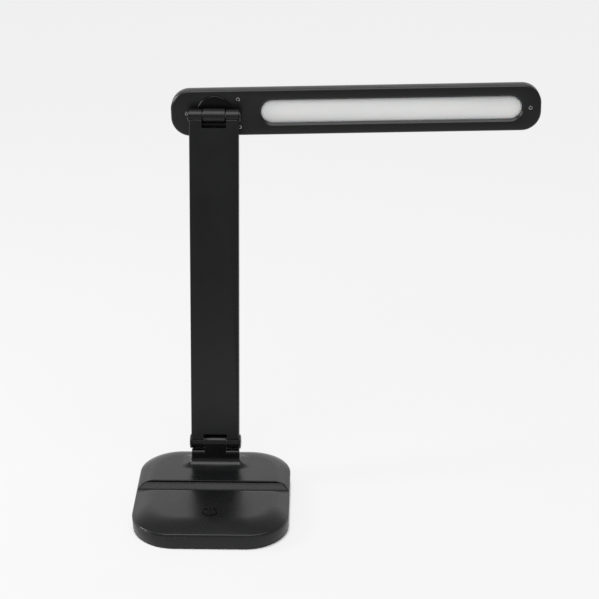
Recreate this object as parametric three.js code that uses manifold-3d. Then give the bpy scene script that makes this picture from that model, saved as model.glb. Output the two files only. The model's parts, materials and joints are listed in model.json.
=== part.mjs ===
// A folding desk lamp with a light bar: a weighted base with a phone groove, a flat arm that folds
// down over it, and a head that tilts at the top of the arm and swivels on a round disc.
// Millimetres, +Z up. The origin is the centre of the pad the lamp stands on, +X to the right,
// +Y to the back. The lamp is drawn standing open, with the light bar facing the front.
import * as THREE from "three";
import { mergeVertices } from "three/addons/utils/BufferGeometryUtils.js";
import Module from "manifold-3d";

const wasm = await Module();
wasm.setup();

// Fits shared by all parts
const gap = 0.3; // between any two pieces that meet
const overrun = 3; // how far a cut runs past the face it opens
const weld = 0.2; // how far a fused detail sinks into its carrier
const shellWall = 2.2; // moulded walls of the base

// Base: outline, tray and pad
const baseWidth = 140;
const baseDepth = 149;
const baseCorner = 37;
const rimHeight = 14.6; // where the crown of the lid begins
const lidSkirt = 1.1; // upright edge of the lid below the crown
const padProud = 0.4;
const padThickness = 1.1;
const padInset = 12; // from the base outline
const trayDraft = 0.3; // how far the wall leans in on its way down
const underRound = 0.6; // rounding of the lower edge
const underCorner = 39;

// Base lid: a low crown, higher behind the phone groove than before it
const frontRise = 4.7;
const rearRise = 6.3;
const frontRoll = 24; // how far the crown takes to flatten, from each edge
const rearRoll = 17;
const frontSideRoll = 18;
const rearSideRoll = 15;
const cornerRoll = 12;

// Phone groove across the lid
const grooveFront = -5.5;
const grooveWidth = 14.5;
const grooveFloorAboveRim = 1.1;
const grooveFlat = 7.5; // width of the level floor behind the front lip
const grooveRamp = 2.9; // rise from the level floor to the foot of the rear wall
const grooveCove = 2.2;

// Neck and lower hinge
const hingeFromRear = 28.1; // of the base
const hingeHeight = 41.6;
const tabRadius = 6.2;
const tabWidth = 19.8;
const neckShoulder = 34.7;
const shoulderRound = 2.6; // front and rear edges of the shoulders
const neckFrontFlare = 12.5;
const neckSideFlare = 12;
const neckRearFlare = 8;
const neckFlareHeight = 11;
const neckFlareCorner = 12;
const neckCorner = 1.2;
const neckWall = 2.4;

// Arm
const armWidth = 44.3;
const armThickness = 13;
const armReach = 303.3; // from lower to upper hinge axis
const armLeanBack = THREE.MathUtils.degToRad(11.5);
const armWall = 1.8;
const armEdge = 0.7;
const lowerEarRadius = 6.2;
const upperEarRadius = 6;
const earGap = 1; // between an ear and the barrel beside it
const frontCoverStart = 3.2; // above the lower axis
const frontCoverEnd = 2.8; // below the upper axis
const lowerPocket = 9.4; // front cover's cut above the lower axis
const upperPocket = 9.6; // front cover's cut below the upper axis
const lowerBridge = 6.8; // cross walls of the rear cover, from their axes
const upperBridge = 6.8;
const bridgeWall = 1.6;
const rearLip = 4; // where the rear cover stops behind the base's knuckle, above the axis
const earRootLength = 18;
const stiffenerWidth = 22;
const stiffenerThickness = 2;
const stiffenerInset = 26; // from each axis
const armScrewInset = 34;
const armScrewAcross = 32;

// Hinge hardware
const lowerPinRadius = 2;
const upperPinRadius = 1.7;
const lowerPinHead = 3.5;
const upperPinHead = 2.9;
const pinHeadLength = 1.5;
const pinHeadRecess = 3.4; // how deep the ears are bored for heads and nuts
const washerThickness = 0.4;
const lowerWasherRadius = 4.8;
const upperWasherRadius = 4.2;
const lowerCapRadius = 6.7;
const lowerCapProud = 2;
const upperCapRadius = 5.2;
const upperCapProud = 2.6;
const capPlug = 1;
const capRoundShare = 0.75; // of how proud a cap stands, its rounded edge
const capRoundSteps = 3;

// Yoke that joins the arm to the head
const yokeBarrelRadius = 6.2;
const headBehindAxis = 8.5; // upper hinge axis to the face of the head
const discBelowAxis = 0.4;
const discRadius = 16.3;
const discThickness = 2.3;
const yokeWebTop = 4.2; // above the upper axis
const yokeWebBottom = 4.8; // below it
const hubRadius = 9;
const hubLength = 4.9; // from the face of the disc
const retainerRadius = 13;
const retainerThickness = 1.2;
const waveWasherWidth = 3;
const waveWasherThickness = 0.4;

// Head, measured from the centre of the disc
const headLeft = 39.5;
const headRight = 292.9;
const headHeight = 42.4;
const headThickness = 12;
const headCorner = 17.4;
const headTurnUp = THREE.MathUtils.degToRad(1.48);
const faceChamfer = 1.5;
const backRound = 2.2;
const headWall = 1.8;
const bezelPlate = 2;
const bezelDepth = 3;
const slotLeft = 41.6;
const slotRight = 275.6;
const slotHeight = 20;
const slotChamfer = 1.8;
const slotDepth = 3;
const slotLip = 0.6; // wall of the lip round the slot
const diffuserFlange = 1.2;
const diffuserCrown = 1.4;
const ledBoardHeight = 12;
const ledBoardThickness = 1;
const ledBoardInset = 5; // from each end of the slot
const ledCount = 24;
const ledLength = 3.5;
const ledWidth = 2.8;
const ledThickness = 0.8;
const reflectorWall = 0.8;
const faceScrewPlaces = [
  [21.3, 12.4],
  [-25.1, 0],
  [22, -13.3],
  [283.3, 0],
];

// Screws
const faceScrew = { head: 2, headLength: 1.1, shank: 1, length: 7.6 };
const armScrew = { head: 2.2, headLength: 1.2, shank: 1.1, length: 9.4 };
const baseScrew = { head: 2.8, headLength: 1.9, shank: 1.4, length: 13 };
const swivelScrew = { head: 3, headLength: 1.8, shank: 1.5, length: 6.6 };
const driveShare = 0.5; // socket of a screw head, of its radius
const driveDepthShare = 0.6; // of its head length
const bossWall = 1.6;
const baseBossSideInset = 19; // from the base's sides and ends
const baseBossEndInset = 21.5;
const baseBossSplit = 11; // height where tray boss and lid post meet

// Inside the base
const ballastSideInset = 12; // from the base's sides and ends
const ballastEndInset = 13.5;
const ballastThickness = 3;
const batteryWidth = 62;
const batteryDepth = 38;
const batteryThickness = 7;
const batteryEdge = 2.5;
const batteryFromFront = 31.5; // of the base, to the middle of the cell
const boardWidth = 50;
const boardDepth = 36;
const boardThickness = 1.6;
const boardFeet = 0.6; // spacers under the board
const boardFootRadius = 2;
const chipSize = 7;
const chipHeight = 1.2;
const socketWidth = 9;
const socketHeight = 3.3;
const socketLength = 8;
const socketWall = 0.35;
const socketRecess = 0.6; // behind the wall's outer face
const socketTongue = 0.7;
const touchFromFront = 29.5;
const electrodeRadius = 8;
const electrodeThickness = 0.5;
const touchBoardRadius = 10;
const bracketInset = 8.3; // from the sides of the neck
const bracketSheet = 2;
const bracketFoot = 20;
const wireRadius = 0.9;

// Facets
const cornerSteps = 7;
const smallCornerSteps = 2;
const rollSteps = 4;
const flareSteps = 5;
const roundSides = 24;
const smallSides = 12;
const wireSides = 6;
const wireSteps = 4; // between two points of a wire's route

// Sizes and places that follow from the ones above
const hingeBehindCentre = baseDepth / 2 - hingeFromRear;
const neckFront = hingeBehindCentre - tabRadius;
const neckRear = hingeBehindCentre + tabRadius;
const batteryForward = baseDepth / 2 - batteryFromFront;
const touchForward = baseDepth / 2 - touchFromFront;
const baseBossAcross = baseWidth - 2 * baseBossSideInset;
const baseBossAlong = baseDepth - 2 * baseBossEndInset;
const ballastWidth = baseWidth - 2 * ballastSideInset;
const ballastDepth = baseDepth - 2 * ballastEndInset;
const bracketWidth = armWidth - 2 * bracketInset;
const rearTop = rimHeight + rearRise;
const seamHeight = rimHeight - lidSkirt;
const grooveFloor = rimHeight + grooveFloorAboveRim;
const grooveRear = grooveFront + grooveWidth;
const grooveMiddle = grooveFront + grooveWidth / 2;
const trayFloor = padProud + shellWall;
const tabHalf = tabWidth / 2;
const earInner = tabHalf + earGap;
const armHalf = armWidth / 2;
const armFront = armThickness / 2;

// Solids and meshes

function toSolid(geometry) {
  geometry.deleteAttribute("normal");
  geometry.deleteAttribute("uv");
  const welded = mergeVertices(geometry);
  return new wasm.Manifold(new wasm.Mesh({
    numProp: 3,
    vertProperties: new Float32Array(welded.attributes.position.array),
    triVerts: new Uint32Array(welded.index.array),
  }));
}

function toGeometry(solid) {
  const { vertProperties, triVerts } = solid.getMesh();
  const geometry = new THREE.BufferGeometry();
  geometry.setAttribute("position", new THREE.BufferAttribute(vertProperties, 3));
  geometry.setIndex(new THREE.BufferAttribute(triVerts, 1));
  geometry.computeVertexNormals();
  return geometry;
}

function piece(group, name, solid, material) {
  const mesh = new THREE.Mesh(toGeometry(solid), material);
  mesh.name = name;
  group.add(mesh);
  return mesh;
}

const join = (...solids) => solids.reduce((whole, solid) => whole.add(solid));
const cut = (solid, ...tools) => tools.reduce((whole, tool) => whole.subtract(tool), solid);

function block([x0, x1], [y0, y1], [z0, z1]) {
  const geometry = new THREE.BoxGeometry(x1 - x0, y1 - y0, z1 - z0);
  return toSolid(geometry.translate((x0 + x1) / 2, (y0 + y1) / 2, (z0 + z1) / 2));
}

// A round rod along X or Z, through the point given by its other two coordinates
function rodX(radius, [x0, x1], y, z, sides = roundSides) {
  const geometry = new THREE.CylinderGeometry(radius, radius, x1 - x0, sides);
  return toSolid(geometry.rotateZ(-Math.PI / 2).translate((x0 + x1) / 2, y, z));
}

function rodZ(radius, x, y, [z0, z1], sides = roundSides) {
  const geometry = new THREE.CylinderGeometry(radius, radius, z1 - z0, sides);
  return toSolid(geometry.rotateX(Math.PI / 2).translate(x, y, (z0 + z1) / 2));
}

// Corner-rounded outline, anticlockwise, always with the same number of points
function outline(left, right, front, rear, radius, cornerStepCount = cornerSteps) {
  const corners = [
    [right - radius, rear - radius],
    [left + radius, rear - radius],
    [left + radius, front + radius],
    [right - radius, front + radius],
  ];
  const points = [];
  corners.forEach(([x, y], quarter) => {
    for (let step = 0; step <= cornerStepCount; step += 1) {
      const angle = (Math.PI / 2) * (quarter + step / cornerStepCount);
      points.push(new THREE.Vector2(x + radius * Math.cos(angle), y + radius * Math.sin(angle)));
    }
  });
  return points;
}

// Skin over a stack of outlines, each at its own height, from the lowest up
function loft(sections) {
  const size = sections[0].points.length;
  const positions = sections.flatMap(({ points, z }) => points.flatMap((p) => [p.x, p.y, z]));
  const faces = [];
  for (let level = 0; level + 1 < sections.length; level += 1) {
    for (let k = 0; k < size; k += 1) {
      const a = level * size + k;
      const b = level * size + ((k + 1) % size);
      faces.push(a, b, b + size, a, b + size, a + size);
    }
  }
  const top = size * (sections.length - 1);
  THREE.ShapeUtils.triangulateShape(sections[0].points, []).forEach(([a, b, c]) => {
    faces.push(c, b, a);
  });
  THREE.ShapeUtils.triangulateShape(sections.at(-1).points, []).forEach(([a, b, c]) => {
    faces.push(top + a, top + b, top + c);
  });
  const geometry = new THREE.BufferGeometry();
  geometry.setAttribute("position", new THREE.Float32BufferAttribute(positions, 3));
  geometry.setIndex(faces);
  return toSolid(geometry);
}

function turned(profile, sides = roundSides) {
  const points = profile.map(([radius, height]) => new THREE.Vector2(radius, height));
  return toSolid(new THREE.LatheGeometry(points, sides).rotateX(Math.PI / 2));
}

function tube(points, radius) {
  const path = new THREE.CatmullRomCurve3(points.map((p) => new THREE.Vector3(...p)));
  const section = new THREE.Shape();
  section.absarc(0, 0, radius, 0, 2 * Math.PI);
  const steps = (points.length - 1) * wireSteps;
  const options = { steps, extrudePath: path, curveSegments: wireSides };
  return toSolid(new THREE.ExtrudeGeometry(section, options));
}

// Materials
const plastic = (color, roughness) => new THREE.MeshStandardMaterial({ color, roughness, metalness: 0 });
const metal = (color, roughness) => new THREE.MeshStandardMaterial({ color, roughness, metalness: 1 });
const blackPlastic = plastic(0x1c1c1d, 0.35);
const blackTrim = plastic(0x121213, 0.3);
const rubber = plastic(0x1a1a1a, 0.9);
const opal = plastic(0xf1f1ee, 0.45);
const whitePlastic = plastic(0xf4f4f2, 0.5);
const boardGreen = plastic(0x1d5a38, 0.5);
const boardWhite = plastic(0xe8e8e2, 0.5);
const wireJacket = plastic(0x2a2a2c, 0.6);
const batteryWrap = plastic(0x4c78a8, 0.4);
const steel = metal(0xb4b6b8, 0.35);
const ballastSteel = metal(0x8c8e90, 0.5);
const copper = metal(0xc98554, 0.35);
const aluminium = metal(0xc9cbcd, 0.4);

// A screw along Z, its head's flat at the origin and its point down
function screwSolid({ head, headLength, shank, length }) {
  const body = turned([
    [0, -length],
    [shank, -length],
    [shank, -headLength],
    [head, -headLength],
    [head, 0],
    [0, 0],
  ], smallSides);
  const socketRadius = head * driveShare;
  const socketSides = 6;
  const socket = rodZ(socketRadius, 0, 0, [-headLength * driveDepthShare, overrun], socketSides);
  return cut(body, socket);
}

// A bored post and its screw hole share the screw's sizes
const postRadius = (screw) => screw.shank + gap + bossWall;

// Base

function baseOutline(inset, corner) {
  const x = baseWidth / 2 - inset;
  const y = baseDepth / 2 - inset;
  return outline(-x, x, -y, y, corner);
}

const baseBosses = [-1, 1].flatMap((sideX) => [-1, 1].map((sideY) => (
  [sideX * baseBossAcross / 2, sideY * baseBossAlong / 2])));

function trayShell(inset, bottom, top) {
  const sections = [];
  for (let step = 0; step <= rollSteps; step += 1) {
    const angle = (Math.PI / 2) * (step / rollSteps);
    const points = baseOutline(
      inset + trayDraft + underRound * (1 - Math.sin(angle)),
      underCorner - inset,
    );
    sections.push({ points, z: bottom + underRound * (1 - Math.cos(angle)) });
  }
  sections.push({ points: baseOutline(inset, baseCorner - inset), z: top });
  return loft(sections);
}

function chargingPort(clearance) {
  const x = socketWidth / 2 + clearance;
  const z0 = boardTop() + gap;
  return [[-x, x], [z0 - clearance, z0 + socketHeight + clearance]];
}

function padPlate(clearance, z0, z1) {
  const points = baseOutline(padInset - clearance, baseCorner - padInset + clearance);
  return loft([{ points, z: z0 }, { points, z: z1 }]);
}

function baseTray() {
  const top = seamHeight - gap;
  let tray = cut(trayShell(0, padProud, top), trayShell(shellWall, trayFloor, top + overrun));
  for (const [x, y] of baseBosses) {
    const boss = rodZ(baseScrew.head + gap + bossWall, x, y, [trayFloor - weld, baseBossSplit], smallSides);
    tray = tray.add(boss);
  }
  for (const [x, y] of baseBosses) {
    const seat = padThickness + gap + baseScrew.headLength + gap;
    tray = cut(
      tray,
      rodZ(baseScrew.shank + gap, x, y, [-overrun, baseBossSplit + overrun], smallSides),
      rodZ(baseScrew.head + gap, x, y, [-overrun, seat], smallSides),
    );
  }
  const [across, up] = chargingPort(gap);
  return cut(
    tray,
    padPlate(gap, padThickness - padProud - overrun, padThickness + gap),
    block(across, [baseDepth / 2 - shellWall - trayDraft - overrun, baseDepth / 2 + overrun], up),
  );
}

// One crown of the lid: a short skirt, then levels that roll in further and further from the rim
function crown(inset, rise, sideRoll) {
  const rim = baseOutline(inset, baseCorner - inset);
  const bottom = inset > 0 ? seamHeight - overrun : seamHeight;
  const edge = rimHeight - inset / 2;
  const sections = [{ points: rim, z: bottom }, { points: rim, z: edge }];
  for (let step = 1; step <= rollSteps; step += 1) {
    const shrink = step / rollSteps;
    const x = baseWidth / 2 - inset - sideRoll * shrink;
    const front = -baseDepth / 2 + inset + frontRoll * shrink;
    const rear = baseDepth / 2 - inset - rearRoll * shrink;
    const points = outline(-x, x, front, rear, baseCorner - inset - cornerRoll * shrink);
    sections.push({ points, z: edge + (rise - inset / 2) * (1 - (1 - shrink) ** 2) });
  }
  return loft(sections);
}

function wholeCrown(inset) {
  const wide = [-baseWidth, baseWidth];
  const tall = [0, rearTop + overrun];
  const before = block(wide, [-baseDepth, grooveMiddle + weld], tall);
  const behind = block(wide, [grooveMiddle - weld, baseDepth], tall);
  return join(
    crown(inset, frontRise, frontSideRoll).intersect(before),
    crown(inset, rearRise, rearSideRoll).intersect(behind),
  );
}

// The groove's section: front lip, level floor, ramp, and a hollow rear wall
function grooveCut() {
  const shape = new THREE.Shape();
  const top = rearTop + overrun;
  const coveStart = grooveRear - grooveCove;
  const coveFoot = grooveFloor + grooveRamp;
  shape.moveTo(grooveFront, top);
  shape.lineTo(grooveFront, grooveFloor);
  shape.lineTo(grooveFront + grooveFlat, grooveFloor);
  shape.lineTo(coveStart, coveFoot);
  shape.absarc(coveStart, coveFoot + grooveCove, grooveCove, -Math.PI / 2, 0);
  shape.lineTo(grooveRear, top);
  const length = baseWidth + 2 * overrun;
  const geometry = new THREE.ExtrudeGeometry(shape, {
    depth: length, bevelEnabled: false, curveSegments: rollSteps,
  });
  const alongX = new THREE.Matrix4().makeBasis(
    new THREE.Vector3(0, 1, 0), new THREE.Vector3(0, 0, 1), new THREE.Vector3(1, 0, 0));
  return toSolid(geometry.applyMatrix4(alongX).translate(-length / 2, 0, 0));
}

// The neck sweeps up out of the lid in a hollow curve and ends in two shoulders
function neckSolid() {
  const root = rearTop - weld;
  const sections = [];
  for (let step = 0; step <= flareSteps; step += 1) {
    const angle = (Math.PI / 2) * (step / flareSteps);
    const flare = 1 - Math.sin(angle);
    const x = armHalf + neckSideFlare * flare;
    const front = neckFront - neckFrontFlare * flare;
    const rear = neckRear + neckRearFlare * flare;
    const points = outline(-x, x, front, rear, neckCorner + neckFlareCorner * flare);
    sections.push({ points, z: root + neckFlareHeight * (1 - Math.cos(angle)) });
  }
  sections.unshift({ points: sections[0].points, z: root - shellWall / 2 });
  const springing = neckShoulder - shoulderRound;
  for (let step = 0; step <= rollSteps; step += 1) {
    const angle = (Math.PI / 2) * (step / rollSteps);
    const inset = shoulderRound * (1 - Math.cos(angle));
    const points = outline(-armHalf, armHalf, neckFront + inset, neckRear - inset, neckCorner);
    sections.push({ points, z: springing + shoulderRound * Math.sin(angle) });
  }
  const tab = block([-tabHalf, tabHalf], [neckFront, neckRear], [springing - weld, hingeHeight]);
  const knuckle = rodX(tabRadius, [-tabHalf, tabHalf], hingeBehindCentre, hingeHeight);
  return join(loft(sections), tab, knuckle);
}

function baseLid() {
  const trough = block(
    [-baseWidth / 2 + shellWall + 2 * gap, baseWidth / 2 - shellWall - 2 * gap],
    [grooveFront - shellWall, grooveRear + shellWall],
    [grooveFloor - shellWall, rimHeight + frontRise - shellWall / 2],
  );
  const hollow = cut(wholeCrown(shellWall), trough);
  const neckRoom = block(
    [-armHalf + neckWall, armHalf - neckWall],
    [neckFront + neckWall, neckRear - neckWall],
    [rimHeight - overrun, neckShoulder - neckWall],
  );
  let lid = cut(join(wholeCrown(0), neckSolid()), hollow, neckRoom);
  lid = join(lid, trough);
  for (const [x, y] of baseBosses) {
    const post = rodZ(postRadius(baseScrew), x, y, [baseBossSplit + gap, rimHeight + frontRise], smallSides);
    lid = lid.add(post.intersect(join(wholeCrown(0), belowRim())));
  }
  for (const [x, y] of baseBosses) {
    const tip = padThickness + gap + baseScrew.length + gap;
    lid = lid.subtract(rodZ(baseScrew.shank + gap, x, y, [0, tip], smallSides));
  }
  const bore = rodX(lowerPinRadius + gap, [-armHalf, armHalf], hingeBehindCentre, hingeHeight);
  return cut(lid, grooveCut(), bore);
}

function belowRim() {
  const points = baseOutline(shellWall + gap, baseCorner - shellWall);
  return loft([{ points, z: 0 }, { points, z: rimHeight + weld }]);
}

function ballastPlate() {
  const x = ballastWidth / 2;
  const y = ballastDepth / 2;
  const points = outline(-x, x, -y, y, baseCorner / 2);
  const z0 = trayFloor + gap;
  let plate = loft([{ points, z: z0 }, { points, z: z0 + ballastThickness }]);
  const clear = baseScrew.head + gap + bossWall + gap;
  for (const [x1, y1] of baseBosses) {
    plate = plate.subtract(rodZ(clear, x1, y1, [0, rimHeight], smallSides));
  }
  return plate;
}

const ballastTop = trayFloor + gap + ballastThickness;

function batteryCell() {
  const z0 = ballastTop + gap;
  const x = batteryWidth / 2;
  const y = batteryDepth / 2;
  const middle = -batteryForward;
  const points = outline(-x, x, middle - y, middle + y, batteryEdge, smallCornerSteps);
  return loft([{ points, z: z0 }, { points, z: z0 + batteryThickness }]);
}

const boardBottom = ballastTop + gap + boardFeet;

function boardTop() {
  return boardBottom + boardThickness;
}

const boardRear = baseDepth / 2 - shellWall - trayDraft - gap;
const boardFront = boardRear - boardDepth;

function controlBoard() {
  const x = boardWidth / 2;
  let board = block([-x, x], [boardFront, boardRear], [boardBottom, boardTop()]);
  for (const side of [-1, 1]) {
    for (const y of [boardFront + 2 * boardFootRadius, boardRear - 2 * boardFootRadius]) {
      const foot = rodZ(boardFootRadius, side * (x - 2 * boardFootRadius), y,
        [boardBottom - boardFeet, boardBottom + weld], smallSides);
      board = board.add(foot);
    }
    const chipX = side * (x - 2 * chipSize);
    const chip = block(
      [chipX - chipSize / 2, chipX + chipSize / 2],
      [boardFront + chipSize, boardFront + 2 * chipSize],
      [boardTop() - weld, boardTop() + chipHeight],
    );
    board = board.add(chip);
  }
  return board;
}

function chargingSocket() {
  const [across, up] = chargingPort(0);
  const rear = baseDepth / 2 - trayDraft - socketRecess;
  const shell = block(across, [rear - socketLength, rear], up);
  const inner = block(
    [across[0] + socketWall, across[1] - socketWall],
    [rear - socketLength + 2 * socketWall, rear + overrun],
    [up[0] + socketWall, up[1] - socketWall],
  );
  const middle = (up[0] + up[1]) / 2;
  const tongue = block(
    [across[0] + socketHeight / 2, across[1] - socketHeight / 2],
    [rear - socketLength + socketWall, rear - socketLength / 4],
    [middle - socketTongue / 2, middle + socketTongue / 2],
  );
  return join(cut(shell, inner), tongue);
}

const lidInnerTop = rimHeight + frontRise - shellWall;
const electrodeTop = lidInnerTop - gap;
const touchBoardTop = electrodeTop - electrodeThickness - gap;

function touchElectrode() {
  const levels = [electrodeTop - electrodeThickness, electrodeTop];
  return rodZ(electrodeRadius, 0, -touchForward, levels);
}

function touchBoard() {
  const bottom = ballastTop + gap + batteryThickness + gap;
  return rodZ(touchBoardRadius, 0, -touchForward, [bottom, touchBoardTop]);
}

// Sheet-steel angle behind the neck: one leg stands in the neck, one lies under the lid
function hingeBracket() {
  const x = bracketWidth / 2;
  const top = neckShoulder - neckWall - gap;
  const under = rearTop - shellWall - gap;
  const legFront = hingeBehindCentre - bracketSheet / 2;
  const legRear = hingeBehindCentre + bracketSheet / 2;
  return join(
    block([-x, x], [legFront, legRear], [under - bracketSheet, top]),
    block([-x, x], [legRear - bracketFoot, legRear], [under - bracketSheet, under]),
  );
}

function batteryWire() {
  const z = boardTop() + gap + wireRadius;
  const x = batteryWidth / 4;
  const start = -batteryForward + batteryDepth / 2 + gap;
  return tube([
    [x, start, z],
    [x, (start + boardFront) / 2, boardBottom + wireRadius],
    [x, boardFront + wireRadius, z],
    [x, boardFront + chipSize - 2 * gap, z],
  ], wireRadius);
}

function neckWire() {
  const x = bracketWidth / 2 + gap + 2 * wireRadius;
  const y = hingeBehindCentre;
  return tube([
    [x, y, boardTop() + gap],
    [x, y, rimHeight],
    [x, y, neckShoulder - neckWall - gap],
  ], wireRadius);
}

function addBase(group) {
  piece(group, "base_lid", baseLid(), blackPlastic);
  piece(group, "base_tray", baseTray(), blackPlastic);
  piece(group, "anti_slip_pad", padPlate(0, 0, padThickness), rubber);
  piece(group, "ballast_plate", ballastPlate(), ballastSteel);
  piece(group, "battery_cell", batteryCell(), batteryWrap);
  piece(group, "control_board", controlBoard(), boardGreen);
  piece(group, "charging_socket", chargingSocket(), steel);
  piece(group, "touch_electrode", touchElectrode(), copper);
  piece(group, "touch_board", touchBoard(), boardGreen);
  piece(group, "hinge_bracket", hingeBracket(), steel);
  piece(group, "battery_wire", batteryWire(), wireJacket);
  piece(group, "neck_wire", neckWire(), wireJacket);
  baseBosses.forEach(([x, y], index) => {
    const screw = piece(group, `base_screw_${index + 1}`, screwSolid(baseScrew), steel);
    screw.position.set(x, y, padThickness + gap);
    screw.rotation.x = Math.PI;
  });
}

// Arm, drawn lying on its back: X across, Y from the lower axis to the upper, +Z the front face

function armSlab(inset, start, end) {
  const x = armHalf - inset;
  const points = outline(-x, x, start, end, armEdge, smallCornerSteps);
  const z = armFront - inset;
  const core = outline(
    -x + armEdge, x - armEdge, start + armEdge, end - armEdge, armEdge / 2, smallCornerSteps);
  return loft([
    { points: core, z: -z },
    { points, z: -z + armEdge },
    { points, z: z - armEdge },
    { points: core, z },
  ]);
}

const armScrewPlaces = [armScrewInset, armReach - armScrewInset].flatMap((y) => (
  [-1, 1].map((side) => [side * armScrewAcross / 2, y])));

const between = [-earInner, earInner];
const throughArm = [-armFront - overrun, armFront + overrun];

function frontCover() {
  const start = frontCoverStart;
  const end = armReach - frontCoverEnd;
  const frontHalf = block([-armWidth, armWidth], [-armReach, 2 * armReach], [gap / 2, armThickness]);
  const inside = block(
    [-armHalf + armWall, armHalf - armWall],
    [-overrun, armReach + overrun],
    [-overrun, armFront - armWall],
  );
  let cover = cut(armSlab(0, start, end).intersect(frontHalf), inside);
  for (const [x, y] of armScrewPlaces) {
    const post = rodZ(postRadius(armScrew), x, y, [-armWall + gap, armFront - armWall + weld], smallSides);
    cover = cover.add(post);
  }
  for (const [x, y] of armScrewPlaces) {
    const bottom = armScrewTip - gap;
    cover = cover.subtract(rodZ(armScrew.shank + gap, x, y, [-armFront, -bottom], smallSides));
  }
  return cut(
    cover,
    block(between, [start - overrun, lowerPocket], throughArm),
    block(between, [armReach - upperPocket, end + overrun], throughArm),
    rodX(lowerEarRadius + gap, [-armWidth, armWidth], 0, 0),
    rodX(upperEarRadius + gap, [-armWidth, armWidth], armReach, 0),
  );
}

// Depth of the arm screws' tips, counted from the middle plane towards the front face
const armScrewSeat = armFront - gap;
const armScrewTip = armScrewSeat - armScrew.length;

// An ear: a barrel on the axis and a root that reaches up inside the arm
function ear(side, axisY, radius, towardArm) {
  const inner = side * earInner;
  const outer = side * armHalf;
  const span = [Math.min(inner, outer), Math.max(inner, outer)];
  const rootEdge = side * (armHalf - armWall - gap);
  const rootSpan = [Math.min(inner, rootEdge), Math.max(inner, rootEdge)];
  const rootEnd = axisY + towardArm * earRootLength;
  const root = block(
    rootSpan,
    [Math.min(axisY, rootEnd), Math.max(axisY, rootEnd)],
    [-armFront + armWall - weld, Math.min(radius, armFront - armWall) - gap],
  );
  return join(rodX(radius, span, axisY, 0), root);
}

function rearCover() {
  const rearHalf = block([-armWidth, armWidth], [-armReach, 2 * armReach], [-armThickness, -gap / 2]);
  const inside = block(
    [-armHalf + armWall, armHalf - armWall],
    [lowerBridge + bridgeWall, armReach - upperBridge - bridgeWall],
    [-armFront + armWall, overrun],
  );
  let cover = cut(armSlab(0, 0, armReach).intersect(rearHalf), inside);
  for (const side of [-1, 1]) {
    cover = join(
      cover,
      ear(side, 0, lowerEarRadius, 1),
      ear(side, armReach, upperEarRadius, -1),
    );
  }
  for (const [x, y] of armScrewPlaces) {
    const radius = armScrew.head + gap + bossWall;
    const top = -armWall;
    cover = cover.add(rodZ(radius, x, y, [-armFront + armWall - weld, top], smallSides));
  }
  for (const [x, y] of armScrewPlaces) {
    const seat = -armScrewSeat + armScrew.headLength + gap;
    cover = cut(
      cover,
      rodZ(armScrew.shank + gap, x, y, [-armFront - overrun, 0], smallSides),
      rodZ(armScrew.head + gap, x, y, [-armFront - overrun, seat], smallSides),
    );
  }
  // Behind the base's knuckle the cover wraps round it; at the yoke it stays open for the web
  cover = cut(
    cover,
    block(between, [-armFront - overrun, rearLip], throughArm),
    rodX(tabRadius + gap, between, 0, 0),
    block(between, [armReach - upperBridge, armReach + armFront + overrun], throughArm),
  );
  return cut(
    cover,
    ...pinRoom(0, lowerPinRadius, lowerPinHead),
    ...pinRoom(armReach, upperPinRadius, upperPinHead),
  );
}

// The bore for a hinge pin and the two wider bores for its head and nut
function pinRoom(axisY, pinRadius, headRadius) {
  const recess = armHalf - pinHeadRecess;
  return [
    rodX(pinRadius + gap, [-armWidth, armWidth], axisY, 0),
    rodX(headRadius + gap, [-armWidth, -recess], axisY, 0),
    rodX(headRadius + gap, [recess, armWidth], axisY, 0),
  ];
}

function hingePin(pinRadius, headRadius) {
  const seat = armHalf - pinHeadRecess + gap;
  return join(
    rodX(pinRadius, [-seat - weld, seat + pinHeadLength], 0, 0, smallSides),
    rodX(headRadius, [-seat - pinHeadLength, -seat], 0, 0, smallSides),
  );
}

function hingeNut(pinRadius, headRadius) {
  const seat = armHalf - pinHeadRecess + gap;
  const hexSides = 6;
  const hex = rodX(headRadius, [seat, seat + pinHeadLength - weld], 0, 0, hexSides);
  return hex.subtract(rodX(pinRadius + gap, [0, armWidth], 0, 0, smallSides));
}

function hingeWasher(side, outerRadius, pinRadius) {
  const inner = side * (tabHalf + gap);
  const outer = side * (tabHalf + gap + washerThickness);
  const span = [Math.min(inner, outer), Math.max(inner, outer)];
  const ring = rodX(outerRadius, span, 0, 0);
  return ring.subtract(rodX(pinRadius + gap, [-armWidth, armWidth], 0, 0, smallSides));
}

// A round end cap, drawn along +Z from the face of the ear and turned to its side
function endCap(radius, proud, plugRadius) {
  const round = proud * capRoundShare;
  const profile = [[0, -capPlug], [plugRadius, -capPlug], [plugRadius, gap], [radius, gap]];
  for (let step = 0; step <= capRoundSteps; step += 1) {
    const angle = (Math.PI / 2) * (step / capRoundSteps);
    profile.push([radius - round * (1 - Math.cos(angle)), proud - round * (1 - Math.sin(angle))]);
  }
  return turned([...profile, [0, proud]]);
}

function addHinge(group, name, axisY, sizes) {
  const hardware = new THREE.Group();
  hardware.position.y = axisY;
  group.add(hardware);
  piece(hardware, `${name}_hinge_pin`, hingePin(sizes.pin, sizes.head), steel);
  piece(hardware, `${name}_hinge_nut`, hingeNut(sizes.pin, sizes.head), steel);
  for (const [word, side] of [["left", -1], ["right", 1]]) {
    piece(hardware, `${name}_washer_${word}`, hingeWasher(side, sizes.washer, sizes.pin), steel);
    const cap = piece(hardware, `${name}_cap_${word}`, endCap(sizes.cap, sizes.proud, sizes.head), blackTrim);
    cap.position.x = side * armHalf;
    cap.rotation.y = side * Math.PI / 2;
  }
}

function armStiffener() {
  const x = stiffenerWidth / 2;
  const top = armFront - armWall - gap;
  return block([-x, x], [stiffenerInset, armReach - stiffenerInset], [top - stiffenerThickness, top]);
}

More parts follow.
